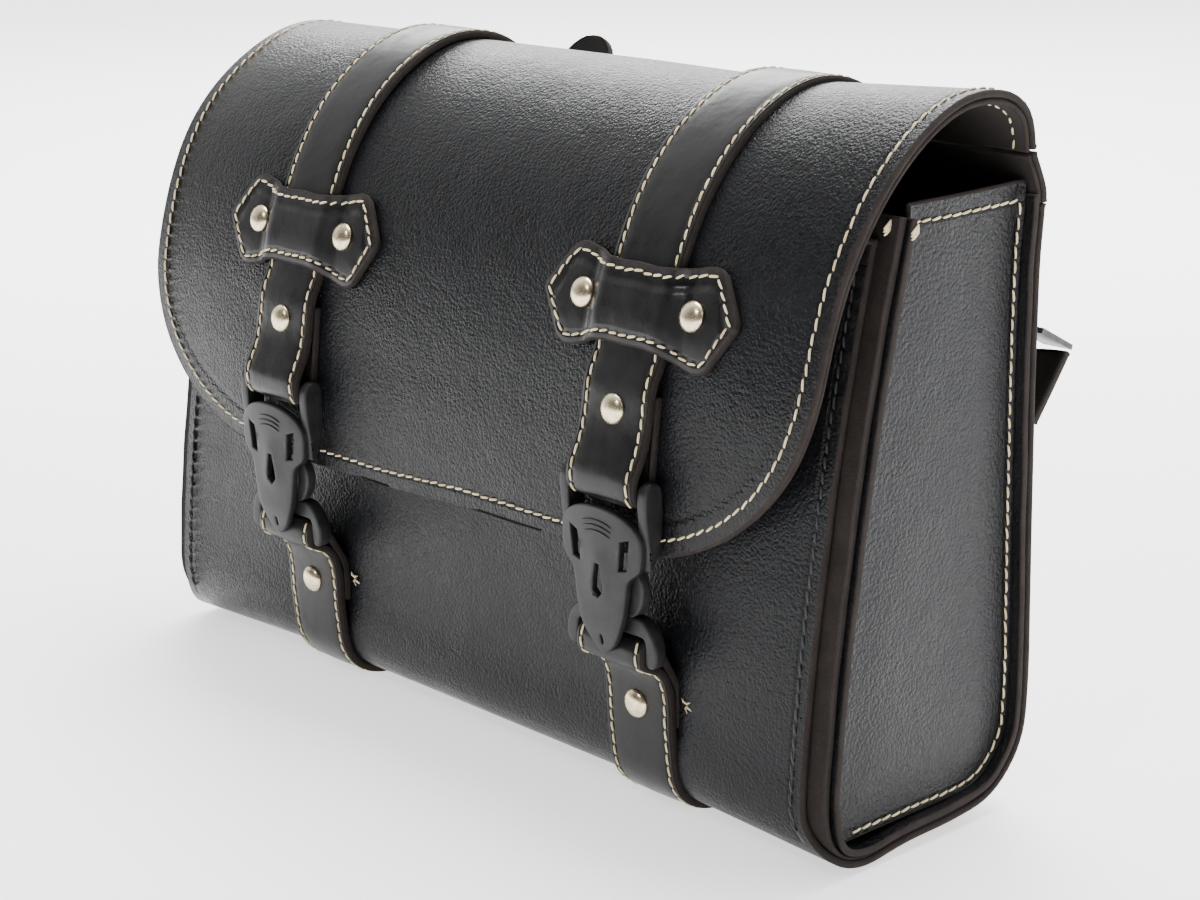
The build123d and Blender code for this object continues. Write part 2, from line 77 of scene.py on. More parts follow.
class Prof:
    """Smooth line in the YZ plane; the outside is on the right of the walk."""

    def __init__(self, pts, window=7.0, step=0.5, ends=True):
        p = np.array(pts, float)
        d = np.r_[0, np.cumsum(np.hypot(*np.diff(p, axis=0).T))]
        n = max(8, int(d[-1] / step))
        s = np.linspace(0, d[-1], n + 1)
        q = np.stack([np.interp(s, d, p[:, 0]), np.interp(s, d, p[:, 1])], 1)
        k = max(1, int(window / step / 2))
        for _ in range(2):
            c = np.r_[np.zeros((1, 2)), np.cumsum(q, 0)]
            out = q.copy()
            for i in range(n + 1):
                w = min(k, i, n - i)
                out[i] = (c[i + w + 1] - c[i - w]) / (2 * w + 1)
            q = out
        d = np.r_[0, np.cumsum(np.hypot(*np.diff(q, axis=0).T))]
        self.q, self.s, self.L = q, d, d[-1]
        t = np.gradient(q, axis=0)
        t /= np.linalg.norm(t, axis=1)[:, None]
        self.t = t
        self.n = np.stack([t[:, 1], -t[:, 0]], 1)

    def at(self, s, h=0.0):
        s = np.asarray(s, float)
        y, z = np.interp(s, self.s, self.q[:, 0]), np.interp(s, self.s, self.q[:, 1])
        ny, nz = np.interp(s, self.s, self.n[:, 0]), np.interp(s, self.s, self.n[:, 1])
        m = np.hypot(ny, nz)
        ny, nz = ny / m, nz / m
        over = np.maximum(0, s - self.L) + np.minimum(0, s)
        ty, tz = -nz, ny
        return y + ny * h + ty * over, z + nz * h + tz * over, ny, nz

    def s_at_z(self, z, lo=0.0, hi=None):
        """Arc length where the walk passes height z, between two arc lengths."""
        hi = self.L if hi is None else hi
        m = (self.s >= lo) & (self.s <= hi)
        s, zz = self.s[m], self.q[m, 1]
        i = int(np.argmin(np.abs(zz - z)))
        return float(s[i])


FRONT = [(-20.6, 195.5), (-28.1, 166.0), (-33.6, 142.0), (-39.1, 114.0),
         (-43.6, 84.0), (-45.6, 64.0), (-46.6, 44.0), (-46.6, 27.0)]
U_PTS = FRONT + arc_pts(-23.6, 23.0, 23.0, 184, 270, 8) + [(0.0, 0.0)] \
    + arc_pts(21.5, 26.0, 26.0, 270, 360, 9) + [(47.5, 80.0), (47.5, 140.0), (47.5, 196.8)]
FLAP_LOW = 82.8
FLAP_PTS = [(47.5, 197.2), (47.2, 204.0), (44.6, 211.0), (39.0, 216.8), (30.0, 220.8),
            (19.0, 222.2), (8.0, 220.6), (-3.2, 216.0), (-14.0, 209.0), (-23.6, 200.0),
            (-31.6, 189.4), (-38.2, 177.0), (-43.6, 163.6), (-47.8, 149.0),
            (-50.2, 137.5), (-53.2, 114.0), (-54.2, 97.0), (-54.4, FLAP_LOW)]
U = Prof(U_PTS, 6.0)
F = Prof(FLAP_PTS, 9.0)
RIM, PANEL_F, PANEL_B, FLAP_HALF, FLAP_R = 169.0, 162.0, 168.5, 165.0, 56.0
FRONT_TOP, GUSSET_TOP = 188.0, 197.0
F_TOP = float(F.s[int(np.argmax(F.q[:, 1]))])
U_CF = float(U.s_at_z(15.0, 0, 200))         # front corner begins
U_BOT = U_CF + 26.0
U_CB = float(U.s[int(np.argmin(np.abs(U.q[:, 0] - 21.5) + (U.q[:, 1] > 5) * 99))])
U_BK = float(U.s_at_z(30.0, U_CB, None))
S_HB = U.s_at_z(190.0, U_BK)                 # back panel hands over to the hinge strip
S_HF = F.s_at_z(205.0, 0, F_TOP)             # flap takes over from the hinge strip


def sst(a, b, x):
    t = np.clip((np.asarray(x, float) - a) / (b - a), 0, 1)
    return t * t * (3 - 2 * t)


def wave(x, s, seed, size):
    """Slow, fixed unevenness of a hand-cut hide, about -1 to 1."""
    r = random.Random(seed)
    out = 0.0
    for k in range(5):
        a, b, c = r.uniform(0.6, 1.6) / size, r.uniform(0.6, 1.6) / size, r.uniform(0, 6.28)
        sg = 1 if r.random() < 0.5 else -1
        out = out + np.sin(a * x * 2 + sg * b * s * 2 + c)
    return out / 5.0


def flap_lift(x, s):
    """How far the flap stands off its plain pattern curve."""
    x, s = np.asarray(x, float), np.asarray(s, float)
    down = sst(F_TOP + 10, F_TOP + 75, s)
    end = sst(95, 165, np.abs(x))
    flare = np.where(x > 0, 0.9, 2.8) * end * down * (1 - 0.75 * sst(F.L - 70, F.L, s))
    sag = -1.8 * sst(60, 165, -x) * sst(12, 50, s) * (1 - sst(F_TOP + 25, F_TOP + 85, s))
    lift = 4.6 * sst(90, 165, x) * sst(4, 34, s) * (1 - sst(F_TOP + 5, F_TOP + 70, s))
    free = sst(8, 40, s) * (1 - 0.5 * sst(F.L - 30, F.L, s))
    return flare + sag + lift + 0.55 * wave(x, s, 3, 60.0) * free


_sz = [U.s_at_z(z, 0, 200) for z in (100.0, 84.0, 64.0, 44.0, 27.0)]
_s45 = U.s_at_z(23.0 - 16.3, 0, 230)
_sb = float(U.s[int(np.argmin(np.abs(U.q[:, 0] + 23.6) + (U.q[:, 1] > 3) * 99))])
_sr = float(U.s[int(np.argmin(np.hypot(U.q[:, 0] - 39.9, U.q[:, 1] - 7.6)))])
RIM_S = np.array([0, _sz[0], _sz[1], _sz[2], _sz[3], _sz[4], _s45, _sb, _sb + 14, _sr - 34, _sr, _sr + 34, _sr + 80, _sr + 130, U.L - 22, U.L - 8, U.L])
RIM_H = np.array([0, 0.0, 0.4, 1.4, 2.7, 4.3, 5.6, 1.6, 0.0, 0.0, -3.2, -1.0, -1.8, -2.4, -1.8, 0.0, 0.0])
MID_S = np.array([0, _sz[0], _sz[1], _sz[2], _sz[3], _sz[4], _s45, _sb, _sb + 30, U.L])
MID_H = np.array([0, 0.0, -0.2, -1.6, -3.6, -4.0, 2.6, 0.6, 0.0, 0.0])


def knots(s, xs, ys):
    """Smooth line through a few heights along the pattern."""
    s = np.asarray(s, float)
    out = 0.0
    for o, w in ((-9, 1), (-4.5, 2), (0, 3), (4.5, 2), (9, 1)):
        out = out + w * np.interp(s + o, xs, ys)
    return out / 9.0


def rim_lift(s):
    return knots(s, RIM_S, RIM_H)


def panel_lift(x, s):
    """The ends stand forward at the bottom and the middle rolls under."""
    x, s = np.asarray(x, float), np.asarray(s, float)
    e = sst(92, 150, np.abs(x))
    mid = (1 - sst(120, 150, np.abs(x)))
    front = sst(20, 60, s) * (1 - sst(U_CF - 20, U_CF + 12, s))
    return rim_lift(s) * e + knots(s, MID_S, MID_H) * (1 - e) + 0.5 * wave(x, s, 8, 45.0) * mid * front


# ---------------------------------------------------------------- materials
def new_mat(name):
    m = bpy.data.materials.new(name)
    m.use_nodes = True
    nt = m.node_tree
    nt.nodes.clear()
    out = nt.nodes.new("ShaderNodeOutputMaterial")
    b = nt.nodes.new("ShaderNodeBsdfPrincipled")
    nt.links.new(b.outputs[0], out.inputs[0])
    return m, nt, b


class G:
    """Small helper for node graphs."""

    def __init__(self, nt):
        self.nt = nt

    def n(self, kind, **kw):
        node = self.nt.nodes.new(kind)
        for k, v in kw.items():
            setattr(node, k, v)
        return node

    def link(self, a, b):
        self.nt.links.new(a, b)

    def val(self, sock, v):
        if hasattr(v, "is_linked"):
            self.link(v, sock)
        else:
            sock.default_value = v

    def math(self, op, a, b=0.0, c=None, clamp=False):
        m = self.n("ShaderNodeMath", operation=op, use_clamp=clamp)
        self.val(m.inputs[0], a)
        self.val(m.inputs[1], b)
        if c is not None:
            self.val(m.inputs[2], c)
        return m.outputs[0]

    def coords(self, scale=1000.0, stretch=(1, 1, 1)):
        tc = self.n("ShaderNodeTexCoord")
        mp = self.n("ShaderNodeMapping")
        mp.inputs["Scale"].default_value = tuple(scale * v for v in stretch)
        self.link(tc.outputs["Object"], mp.inputs["Vector"])
        return mp.outputs[0]

    def noise(self, vec, scale, detail=3.0, rough=0.5, dist=0.0):
        t = self.n("ShaderNodeTexNoise")
        self.link(vec, t.inputs["Vector"])
        t.inputs["Scale"].default_value = scale
        t.inputs["Detail"].default_value = detail
        t.inputs["Roughness"].default_value = rough
        t.inputs["Distortion"].default_value = dist
        return t.outputs["Fac"]

    def voronoi(self, vec, scale, feature="F1", smooth=None, rnd=1.0):
        t = self.n("ShaderNodeTexVoronoi", feature=feature)
        self.link(vec, t.inputs["Vector"])
        t.inputs["Scale"].default_value = scale
        t.inputs["Randomness"].default_value = rnd
        if smooth is not None and "Smoothness" in t.inputs:
            t.inputs["Smoothness"].default_value = smooth
        return t.outputs["Distance"]

    def ramp(self, fac, stops):
        r = self.n("ShaderNodeValToRGB")
        self.link(fac, r.inputs[0])
        e = r.color_ramp.elements
        while len(e) < len(stops):
            e.new(0.5)
        for el, (p, c) in zip(e, stops):
            el.position = p
            el.color = (*c, 1) if len(c) == 3 else (c[0], c[0], c[0], 1)
        return r.outputs[0]

    def rng(self, fac, a, b, c, d, smooth=False):
        r = self.n("ShaderNodeMapRange", clamp=True)
        if smooth:
            r.interpolation_type = "SMOOTHSTEP"
        self.val(r.inputs["Value"], fac)
        for k, v in (("From Min", a), ("From Max", b), ("To Min", c), ("To Max", d)):
            r.inputs[k].default_value = v
        return r.outputs[0]

    def mix(self, fac, a, b, mode="MIX"):
        m = self.n("ShaderNodeMix", data_type="RGBA", blend_type=mode)
        self.val(m.inputs[0], fac)
        for sock, v in ((m.inputs[6], a), (m.inputs[7], b)):
            if hasattr(v, "is_linked"):
                self.link(v, sock)
            else:
                sock.default_value = (*v, 1)
        return m.outputs[2]

    def attr(self, name):
        a = self.n("ShaderNodeAttribute", attribute_name=name)
        return a.outputs["Fac"]

    def bump(self, height, strength, distance, normal=None):
        b = self.n("ShaderNodeBump")
        b.inputs["Strength"].default_value = strength
        b.inputs["Distance"].default_value = distance
        self.link(height, b.inputs["Height"])
        if normal is not None:
            self.link(normal, b.inputs["Normal"])
        return b.outputs[0]


def grain_leather(name, dark, light, rough=0.44, grain=1.0, bump=0.30, smooth=False, sheen=0.012, spec=0.24):
    """Black hide. Pebble grain with pores, or smooth strap leather with faint creases."""
    m, nt, b = new_mat(name)
    g = G(nt)
    v = g.coords()
    seam, edge = g.attr("seam"), g.attr("edge")
    big = g.noise(v, 0.022, 3.0, 0.55)
    mid = g.noise(v, 0.16, 3.0, 0.6)
    if smooth:
        fine = g.noise(v, 1.6, 3.0, 0.6)
        crease = g.noise(g.coords(1000.0, (1, 0.35, 0.35)), 0.55, 4.0, 0.65, 0.6)
        height = g.math("MULTIPLY_ADD", crease, 0.55, g.math("MULTIPLY", fine, 0.30))
        pores = g.voronoi(v, 0.9)
        pit = g.rng(pores, 0.0, 0.16, 0.0, 1.0, True)
        height = g.math("MULTIPLY_ADD", pit, 0.22, height)
        tone = g.math("MULTIPLY_ADD", mid, 0.5, g.math("MULTIPLY", big, 0.5))
    else:
        wob = g.n("ShaderNodeTexNoise")
        g.link(v, wob.inputs["Vector"])
        wob.inputs["Scale"].default_value = 0.55
        wob.inputs["Detail"].default_value = 2.0
        add = g.n("ShaderNodeVectorMath", operation="MULTIPLY_ADD")
        g.link(wob.outputs["Color"], add.inputs[0])
        add.inputs[1].default_value = (1.1, 1.1, 1.1)
        g.link(v, add.inputs[2])
        vv = add.outputs[0]
        pebble = g.voronoi(vv, 0.62 * grain, "SMOOTH_F1", 0.35)
        small = g.voronoi(vv, 1.35 * grain, "F1")
        pores = g.voronoi(vv, 0.80 * grain, "F1")
        pit = g.rng(pores, 0.05, 0.30, 0.0, 1.0, True)
        h1 = g.math("MULTIPLY", pebble, -0.9)
        h2 = g.math("MULTIPLY_ADD", small, -0.35, h1)
        h3 = g.math("MULTIPLY_ADD", pit, 0.22, h2)
        height = g.math("MULTIPLY_ADD", g.noise(v, 2.6, 2.0, 0.6), 0.25, h3)
        tone = g.math("MULTIPLY_ADD", mid, 0.35, g.math("MULTIPLY", big, 0.65))
    col = g.mix(g.rng(tone, 0.32, 0.68, 0.0, 1.0), dark, light)
    # painted shade darkens the sewing channel; the leather is worn lighter at the cut edge
    dist = g.math("ABSOLUTE", seam)
    groove_shade = g.rng(dist, 0.2, 1.5, 1.0, 0.0, True)
    col = g.mix(g.math("MULTIPLY", groove_shade, 0.55), col, tuple(0.35 * c for c in dark))
    wear = g.math("MULTIPLY", g.rng(edge, 0.0, 1.7, 1.0, 0.0, True), g.rng(g.noise(v, 0.35, 4.0, 0.7), 0.42, 0.66, 0.0, 1.0))
    col = g.mix(g.math("MULTIPLY", wear, 0.5), col, (0.042, 0.034, 0.030))
    g.link(col, b.inputs["Base Color"])
    r = g.math("MULTIPLY_ADD", g.rng(mid, 0.3, 0.7, -1.0, 1.0), 0.05, rough)
    r = g.math("MULTIPLY_ADD", g.rng(big, 0.35, 0.65, -1.0, 1.0), 0.05, r)
    r = g.math("MULTIPLY_ADD", wear, 0.25, r)
    g.link(r, b.inputs["Roughness"])
    b.inputs["Specular IOR Level"].default_value = spec
    b.inputs["Sheen Weight"].default_value = sheen
    b.inputs["Sheen Roughness"].default_value = 0.45
    b.inputs["Sheen Tint"].default_value = (0.72, 0.80, 0.95, 1)
    macro = g.noise(v, 0.07, 3.0, 0.5)
    n0 = g.bump(macro, 0.35, 0.0012)
    n1 = g.bump(g.rng(dist, 0.0, 1.6, 0.0, 1.0, True), 0.9, 0.00045, n0)
    n2 = g.bump(height, bump, 0.00022 if smooth else 0.00036, n1)
    g.link(n2, b.inputs["Normal"])
    return m


def raw_edge(name, a=(0.0130, 0.0105, 0.0098), c=(0.0360, 0.0280, 0.0245), layers=1.0):
    """Cut edge and flesh side: fibrous, dull, brown-black."""
    m, nt, b = new_mat(name)
    g = G(nt)
    v = g.coords()
    fib = g.noise(g.coords(1000.0, (1.0, 1.0, 1.0)), 1.9, 6.0, 0.75, 0.4)
    fleck = g.noise(v, 4.5, 2.0, 0.6)
    big = g.noise(v, 0.12, 3.0, 0.6)
    t = g.math("MULTIPLY_ADD", fib, 0.65, g.math("MULTIPLY", big, 0.35))
    col = g.mix(g.rng(t, 0.36, 0.66, 0.0, 1.0), a, c)
    col = g.mix(g.math("MULTIPLY", g.rng(fleck, 0.62, 0.72, 0.0, 1.0), 0.45), col, (0.085, 0.070, 0.060))
    g.link(col, b.inputs["Base Color"])
    b.inputs["Roughness"].default_value = 0.86
    b.inputs["Specular IOR Level"].default_value = 0.16
    n1 = g.bump(fib, 0.7, 0.0004)
    n2 = g.bump(fleck, 0.5, 0.0002, n1)
    g.link(n2, b.inputs["Normal"])
    return m


def thread_mat(name, a, c):
    m, nt, b = new_mat(name)
    g = G(nt)
    v = g.coords()
    info = g.n("ShaderNodeNewGeometry")
    rnd = info.outputs["Random Per Island"]
    ply = g.n("ShaderNodeTexWave", wave_type="BANDS", bands_direction="DIAGONAL")
    g.link(v, ply.inputs["Vector"])
    ply.inputs["Scale"].default_value = 0.55
    ply.inputs["Distortion"].default_value = 1.2
    col = g.mix(rnd, a, c)
    col = g.mix(g.math("MULTIPLY", g.rng(g.noise(v, 0.09, 2.0), 0.45, 0.7, 0.0, 1.0), 0.35), col, tuple(0.55 * k for k in a))
    g.link(col, b.inputs["Base Color"])
    b.inputs["Roughness"].default_value = 0.78
    b.inputs["Sheen Weight"].default_value = 0.15
    g.link(g.bump(ply.outputs["Fac"], 0.5, 0.00012), b.inputs["Normal"])
    return m


def metal_mat(name, base, dark, rough=0.26):
    m, nt, b = new_mat(name)
    g = G(nt)
    v = g.coords()
    t = g.noise(v, 0.55, 4.0, 0.65)
    spots = g.noise(v, 1.6, 3.0, 0.7)
    col = g.mix(g.rng(t, 0.42, 0.72, 0.0, 0.8), base, dark)
    g.link(col, b.inputs["Base Color"])
    b.inputs["Metallic"].default_value = 1.0
    g.link(g.math("MULTIPLY_ADD", spots, 0.22, rough - 0.08), b.inputs["Roughness"])
    g.link(g.bump(g.noise(v, 1.1, 3.0, 0.6), 0.12, 0.0002), b.inputs["Normal"])
    return m


def plastic_mat(name, base=(0.0095, 0.0096, 0.0100), rough=0.46):
    m, nt, b = new_mat(name)
    g = G(nt)
    v = g.coords()
    t = g.noise(v, 0.3, 4.0, 0.6)
    spark = g.noise(v, 3.4, 2.0, 0.6)
    col = g.mix(g.rng(t, 0.4, 0.7, 0.0, 1.0), base, tuple(1.9 * k for k in base))
    dust = g.rng(g.noise(v, 1.3, 5.0, 0.75), 0.60, 0.74, 0.0, 0.28)
    col = g.mix(dust, col, (0.075, 0.075, 0.075))
    g.link(col, b.inputs["Base Color"])
    g.link(g.math("MULTIPLY_ADD", t, 0.14, rough - 0.07), b.inputs["Roughness"])
    b.inputs["Specular IOR Level"].default_value = 0.30
    g.link(g.bump(spark, 0.22, 0.00012), b.inputs["Normal"])
    return m


def cloth_mat(name, a=(0.018, 0.018, 0.020), c=(0.032, 0.032, 0.036)):
    m, nt, b = new_mat(name)
    g = G(nt)
    v = g.coords()
    w1 = g.n("ShaderNodeTexWave", wave_type="BANDS", bands_direction="X")
    w2 = g.n("ShaderNodeTexWave", wave_type="BANDS", bands_direction="Z")
    for w in (w1, w2):
        g.link(v, w.inputs["Vector"])
        w.inputs["Scale"].default_value = 0.5
        w.inputs["Distortion"].default_value = 0.4
    weave = g.math("MULTIPLY", w1.outputs["Fac"], w2.outputs["Fac"])
    col = g.mix(weave, a, c)
    g.link(col, b.inputs["Base Color"])
    b.inputs["Roughness"].default_value = 0.9
    b.inputs["Sheen Weight"].default_value = 0.2
    g.link(g.bump(weave, 0.5, 0.0002), b.inputs["Normal"])
    return m


M = {
    "panel": grain_leather("leather_panel", (0.0034, 0.0036, 0.0044), (0.0066, 0.0070, 0.0084), 0.31, 1.45, 0.72, False, 0.006, 0.20),
    "flap": grain_leather("leather_flap", (0.0032, 0.0034, 0.0041), (0.0062, 0.0065, 0.0077), 0.30, 1.45, 0.68, False, 0.006, 0.20),
    # the gusset leather is a lighter copy of the panel leather: painted light for the brightly lit side faces
    "gusset": grain_leather("leather_gusset", (0.0045, 0.0047, 0.0057), (0.0090, 0.0094, 0.0112), 0.33, 1.35, 0.75, False, 0.006, 0.22),
    "strap": grain_leather("leather_strap", (0.0062, 0.0058, 0.0058), (0.0115, 0.0108, 0.0106), 0.33, 1.0, 0.35, True),
    "keeper": grain_leather("leather_keeper", (0.0070, 0.0066, 0.0066), (0.0125, 0.0118, 0.0116), 0.32, 1.0, 0.35, True),
    "belt": grain_leather("leather_belt", (0.0100, 0.0085, 0.0080), (0.0180, 0.0150, 0.0140), 0.40, 1.0, 0.4, True),
    "inner": grain_leather("leather_inner", (0.0170, 0.0140, 0.0130), (0.0290, 0.0240, 0.0225), 0.62, 1.0, 0.3, True),
    "edge": raw_edge("leather_cut_edge"),
    "edge_dark": raw_edge("leather_cut_edge_dark", (0.007, 0.006, 0.0058), (0.019, 0.0155, 0.0145)),
    "welt": raw_edge("leather_welt", (0.010, 0.0082, 0.0076), (0.030, 0.0235, 0.0205)),
    "thread": thread_mat("thread_cream", (0.62, 0.49, 0.27), (0.84, 0.72, 0.47)),
    "thread_dark": thread_mat("thread_black", (0.012, 0.012, 0.013), (0.030, 0.029, 0.030)),
    "rivet": metal_mat("rivet_metal", (0.84, 0.72, 0.50), (0.44, 0.34, 0.20), 0.24),
    "steel": metal_mat("buckle_metal", (0.62, 0.61, 0.59), (0.30, 0.29, 0.28), 0.30),
    "plastic": plastic_mat("buckle_plastic"),
    "plastic_arm": plastic_mat("buckle_arm_plastic", (0.0120, 0.0120, 0.0125), 0.50),
    "cloth": cloth_mat("lining_cloth"),
    "steel_dark": metal_mat("blackened_steel", (0.070, 0.068, 0.066), (0.025, 0.024, 0.023), 0.34),
    "board": plastic_mat("board_plastic", (0.020, 0.020, 0.020), 0.6),
}


# ------------------------------------------------------------- mesh builders
def finish_piece(me, name, mats, body, replaces=()):
    for k in mats:
        me.materials.append(M[k])
    ob = bpy.data.objects.new(name, me)
    bpy.context.scene.collection.objects.link(ob)
    if isinstance(body, str):
        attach(ob, body)
    elif body is not None:
        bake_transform(ob)
    if replaces:
        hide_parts(*replaces)
    return ob


def thick(name, B, N, t, mats, body, r=None, seam=None, edge=None, replaces=(), smooth=True, rounds=True):
    """Leather of thickness t: outer face on the grid B (n, m, 3) in pattern mm, with
    rounded cut edges all round, and the flesh side behind."""
    B, N = np.array(B, float), np.array(N, float)
    n, m = B.shape[:2]
    N = N / np.maximum(1e-9, np.linalg.norm(N, axis=2))[:, :, None]
    tt = np.broadcast_to(np.asarray(t, float), (n, m))
    r = min(0.42 * float(tt.min()), 0.95) if r is None else r
    loop = [(i, 0) for i in range(n)] + [(n - 1, j) for j in range(1, m)] \
        + [(i, m - 1) for i in range(n - 2, -1, -1)] + [(0, j) for j in range(m - 2, 0, -1)]
    li = np.array(loop)
    P = B[li[:, 0], li[:, 1]]
    NN = N[li[:, 0], li[:, 1]]
    T = np.roll(P, -1, 0) - np.roll(P, 1, 0)
    O = np.cross(T, NN)
    O /= np.maximum(1e-9, np.linalg.norm(O, axis=1))[:, None]
    cen = B.reshape(-1, 3).mean(0)
    k = len(P) // 2
    # sign from an inner neighbour in the middle of one side
    i0 = n // 2
    test = B[i0, 0] - B[i0, min(1, m - 1)]
    if np.dot(O[i0], test) < 0:
        O = -O
    tl = tt[li[:, 0], li[:, 1]][:, None]
    outer = B.copy()
    inner = B - N * tt[:, :, None]
    outer[li[:, 0], li[:, 1]] = P - O * r
    inner[li[:, 0], li[:, 1]] = P - O * r - NN * tl
    verts = [outer.reshape(-1, 3), inner.reshape(-1, 3)]
    q = 0.293
    rings = [P - O * q * r - NN * q * r, P - NN * r, P - NN * (tl - r), P - O * q * r - NN * (tl - q * r)]
    verts += rings
    V = row(np.concatenate(verts))
    nm = n * m
    faces, mi = [], []
    for i in range(n - 1):
        for j in range(m - 1):
            a, b_, c, d = i * m + j, i * m + j + 1, (i + 1) * m + j + 1, (i + 1) * m + j
            faces.append((a, b_, c, d)); mi.append(0)
            faces.append((nm + d, nm + c, nm + b_, nm + a)); mi.append(2)
    ids = li[:, 0] * m + li[:, 1]
    K = len(loop)
    chain = [ids] + [2 * nm + q_ * K + np.arange(K) for q_ in range(4)] + [nm + ids]
    for a, b_ in zip(chain[:-1], chain[1:]):
        for i in range(K):
            j = (i + 1) % K
            faces.append((int(a[i]), int(b_[i]), int(b_[j]), int(a[j]))); mi.append(1)
    me = bpy.data.meshes.new(name)
    me.from_pydata(V.tolist(), [], faces)
    me.polygons.foreach_set("material_index", mi)
    sa = me.attributes.new("seam", "FLOAT", "POINT")
    ea = me.attributes.new("edge", "FLOAT", "POINT")
    sv = np.full(len(V), 50.0)
    ev = np.full(len(V), 0.0)
    se = np.full((n, m), 50.0) if seam is None else np.asarray(seam, float)
    ed = np.full((n, m), 50.0) if edge is None else np.asarray(edge, float)
    sv[:nm] = se.ravel(); ev[:nm] = ed.ravel(); ev[nm:2 * nm] = 50.0
    sa.data.foreach_set("value", sv.astype(np.float32))
    ea.data.foreach_set("value", ev.astype(np.float32))
    bm = bmesh.new()
    bm.from_mesh(me)
    bmesh.ops.remove_doubles(bm, verts=bm.verts, dist=1e-6)
    bmesh.ops.recalc_face_normals(bm, faces=bm.faces)
    bm.to_mesh(me)
    bm.free()
    me.polygons.foreach_set("use_smooth", [smooth] * len(me.polygons))
    me.update()
    return finish_piece(me, name, mats, body, replaces)


def flap_slide(x, s):
    """The lower edge hangs a little lower on the left and higher at the right corner."""
    x, s = np.asarray(x, float), np.asarray(s, float)
    w = sst(F.L - 75, F.L, s)
    return w * (2.4 * (1 - sst(-40, 20, x)) * sst(-150, -95, x) - 4.2 * sst(55, 135, x))


def prof_grid(prof, ss, xs, lift=None, h=0.0):
    """Grid over a profile: rows follow ss, columns are x values (n, m) or (m,)."""
    ss = np.asarray(ss, float)
    xs = np.asarray(xs, float)
    X = np.broadcast_to(xs, (len(ss), xs.shape[-1])) if xs.ndim == 1 else xs
    S = np.broadcast_to(ss[:, None], X.shape)
    H = np.zeros(X.shape) + h
    if lift is not None:
        H = H + lift(X, S)
    y, z, ny, nz = prof.at(S + (flap_slide(X, S) if prof is F else 0.0), H)
    B = np.stack([X, y, z], 2)
    N = np.stack([np.zeros(X.shape), ny, nz], 2)
    return B, N, X, S


def spaced(a, b, step, near=(), fine=(0.0, 0.9, 2.2, 4.0, 6.0, 9.0)):
    """Values from a to b with extra lines near the two ends."""
    mid = np.linspace(a, b, max(2, int(abs(b - a) / step)) + 1)
    sg = 1 if b > a else -1
    ends = [a + sg * f for f in fine] + [b - sg * f for f in fine]
    v = np.array(sorted(set(np.round(np.r_[mid, ends, list(near)], 4))))
    v = v[(v >= min(a, b) - 1e-6) & (v <= max(a, b) + 1e-6)]
    keep = [v[0]]
    for q in v[1:]:
        if q - keep[-1] > 0.35:
            keep.append(q)
    keep[-1] = v[-1]
    return np.array(keep)


def stitches(name, path, normals, body, pitch=4.4, length=3.95, w=0.40, hgt=0.42, slant=9.0, mat="thread",
             seed=1, sink=0.10, closed=False):
    """Saddle stitches: one rounded thread loop per pitch along a path in pattern mm."""
    P, Nn = np.array(path, float), np.array(normals, float)
    d = np.r_[0, np.cumsum(np.linalg.norm(np.diff(P, axis=0), axis=1))]
    L = d[-1]
    k = max(1, int(round(L / pitch)))
    step = L / k
    rnd = random.Random(seed)
    V, Fc = [], []
    prof = [(-1.0, 0.0, -0.9), (-0.93, 0.55, -0.35), (-0.62, 0.95, 0.32), (0.0, 1.0, 0.55), (0.62, 0.95, 0.32), (0.93, 0.55, -0.35), (1.0, 0.0, -0.9)]
    seg = 8
    for i in range(k):
        s = (i + 0.5) * step
        c = np.array([np.interp(s, d, P[:, a]) for a in range(3)])
        p2 = np.array([np.interp(min(L, s + 0.8), d, P[:, a]) for a in range(3)])
        p1 = np.array([np.interp(max(0, s - 0.8), d, P[:, a]) for a in range(3)])
        nn = np.array([np.interp(s, d, Nn[:, a]) for a in range(3)])
        nn /= np.linalg.norm(nn)
        t = p2 - p1
        t -= nn * np.dot(t, nn)
        t /= np.linalg.norm(t)
        bnm = np.cross(nn, t)
        a = math.radians(slant + rnd.uniform(-3.5, 3.5))
        t2 = t * math.cos(a) + bnm * math.sin(a)
        b2 = np.cross(nn, t2)
        hl = length / 2 * rnd.uniform(0.93, 1.06)
        off = rnd.uniform(-0.14, 0.14)
        base = len(V)
        V.append(c + t2 * (-hl) + nn * (-0.9 * hgt - sink) + b2 * off)
        for u, rr, zz in prof[1:-1]:
            for q in range(seg):
                th = 2 * math.pi * q / seg
                V.append(c + t2 * (u * hl) + b2 * (off + w * rr * math.cos(th)) + nn * (zz * hgt * 0.55 + hgt * rr * math.sin(th) * 0.8 - sink + 0.12))
        V.append(c + t2 * hl + nn * (-0.9 * hgt - sink) + b2 * off)
        nr = len(prof) - 2
        for q in range(seg):
            Fc.append((base, base + 1 + (q + 1) % seg, base + 1 + q))
            for r_ in range(nr - 1):
                a0 = base + 1 + r_ * seg
                Fc.append((a0 + q, a0 + (q + 1) % seg, a0 + seg + (q + 1) % seg, a0 + seg + q))
            a0 = base + 1 + (nr - 1) * seg
            Fc.append((a0 + q, a0 + (q + 1) % seg, base + 1 + nr * seg))
    me = bpy.data.meshes.new(name)
    me.from_pydata(row(V).tolist(), [], Fc)
    bm = bmesh.new(); bm.from_mesh(me)
    bmesh.ops.recalc_face_normals(bm, faces=bm.faces)
    bm.to_mesh(me); bm.free()
    me.polygons.foreach_set("use_smooth", [True] * len(me.polygons))
    return finish_piece(me, name, [mat], body)


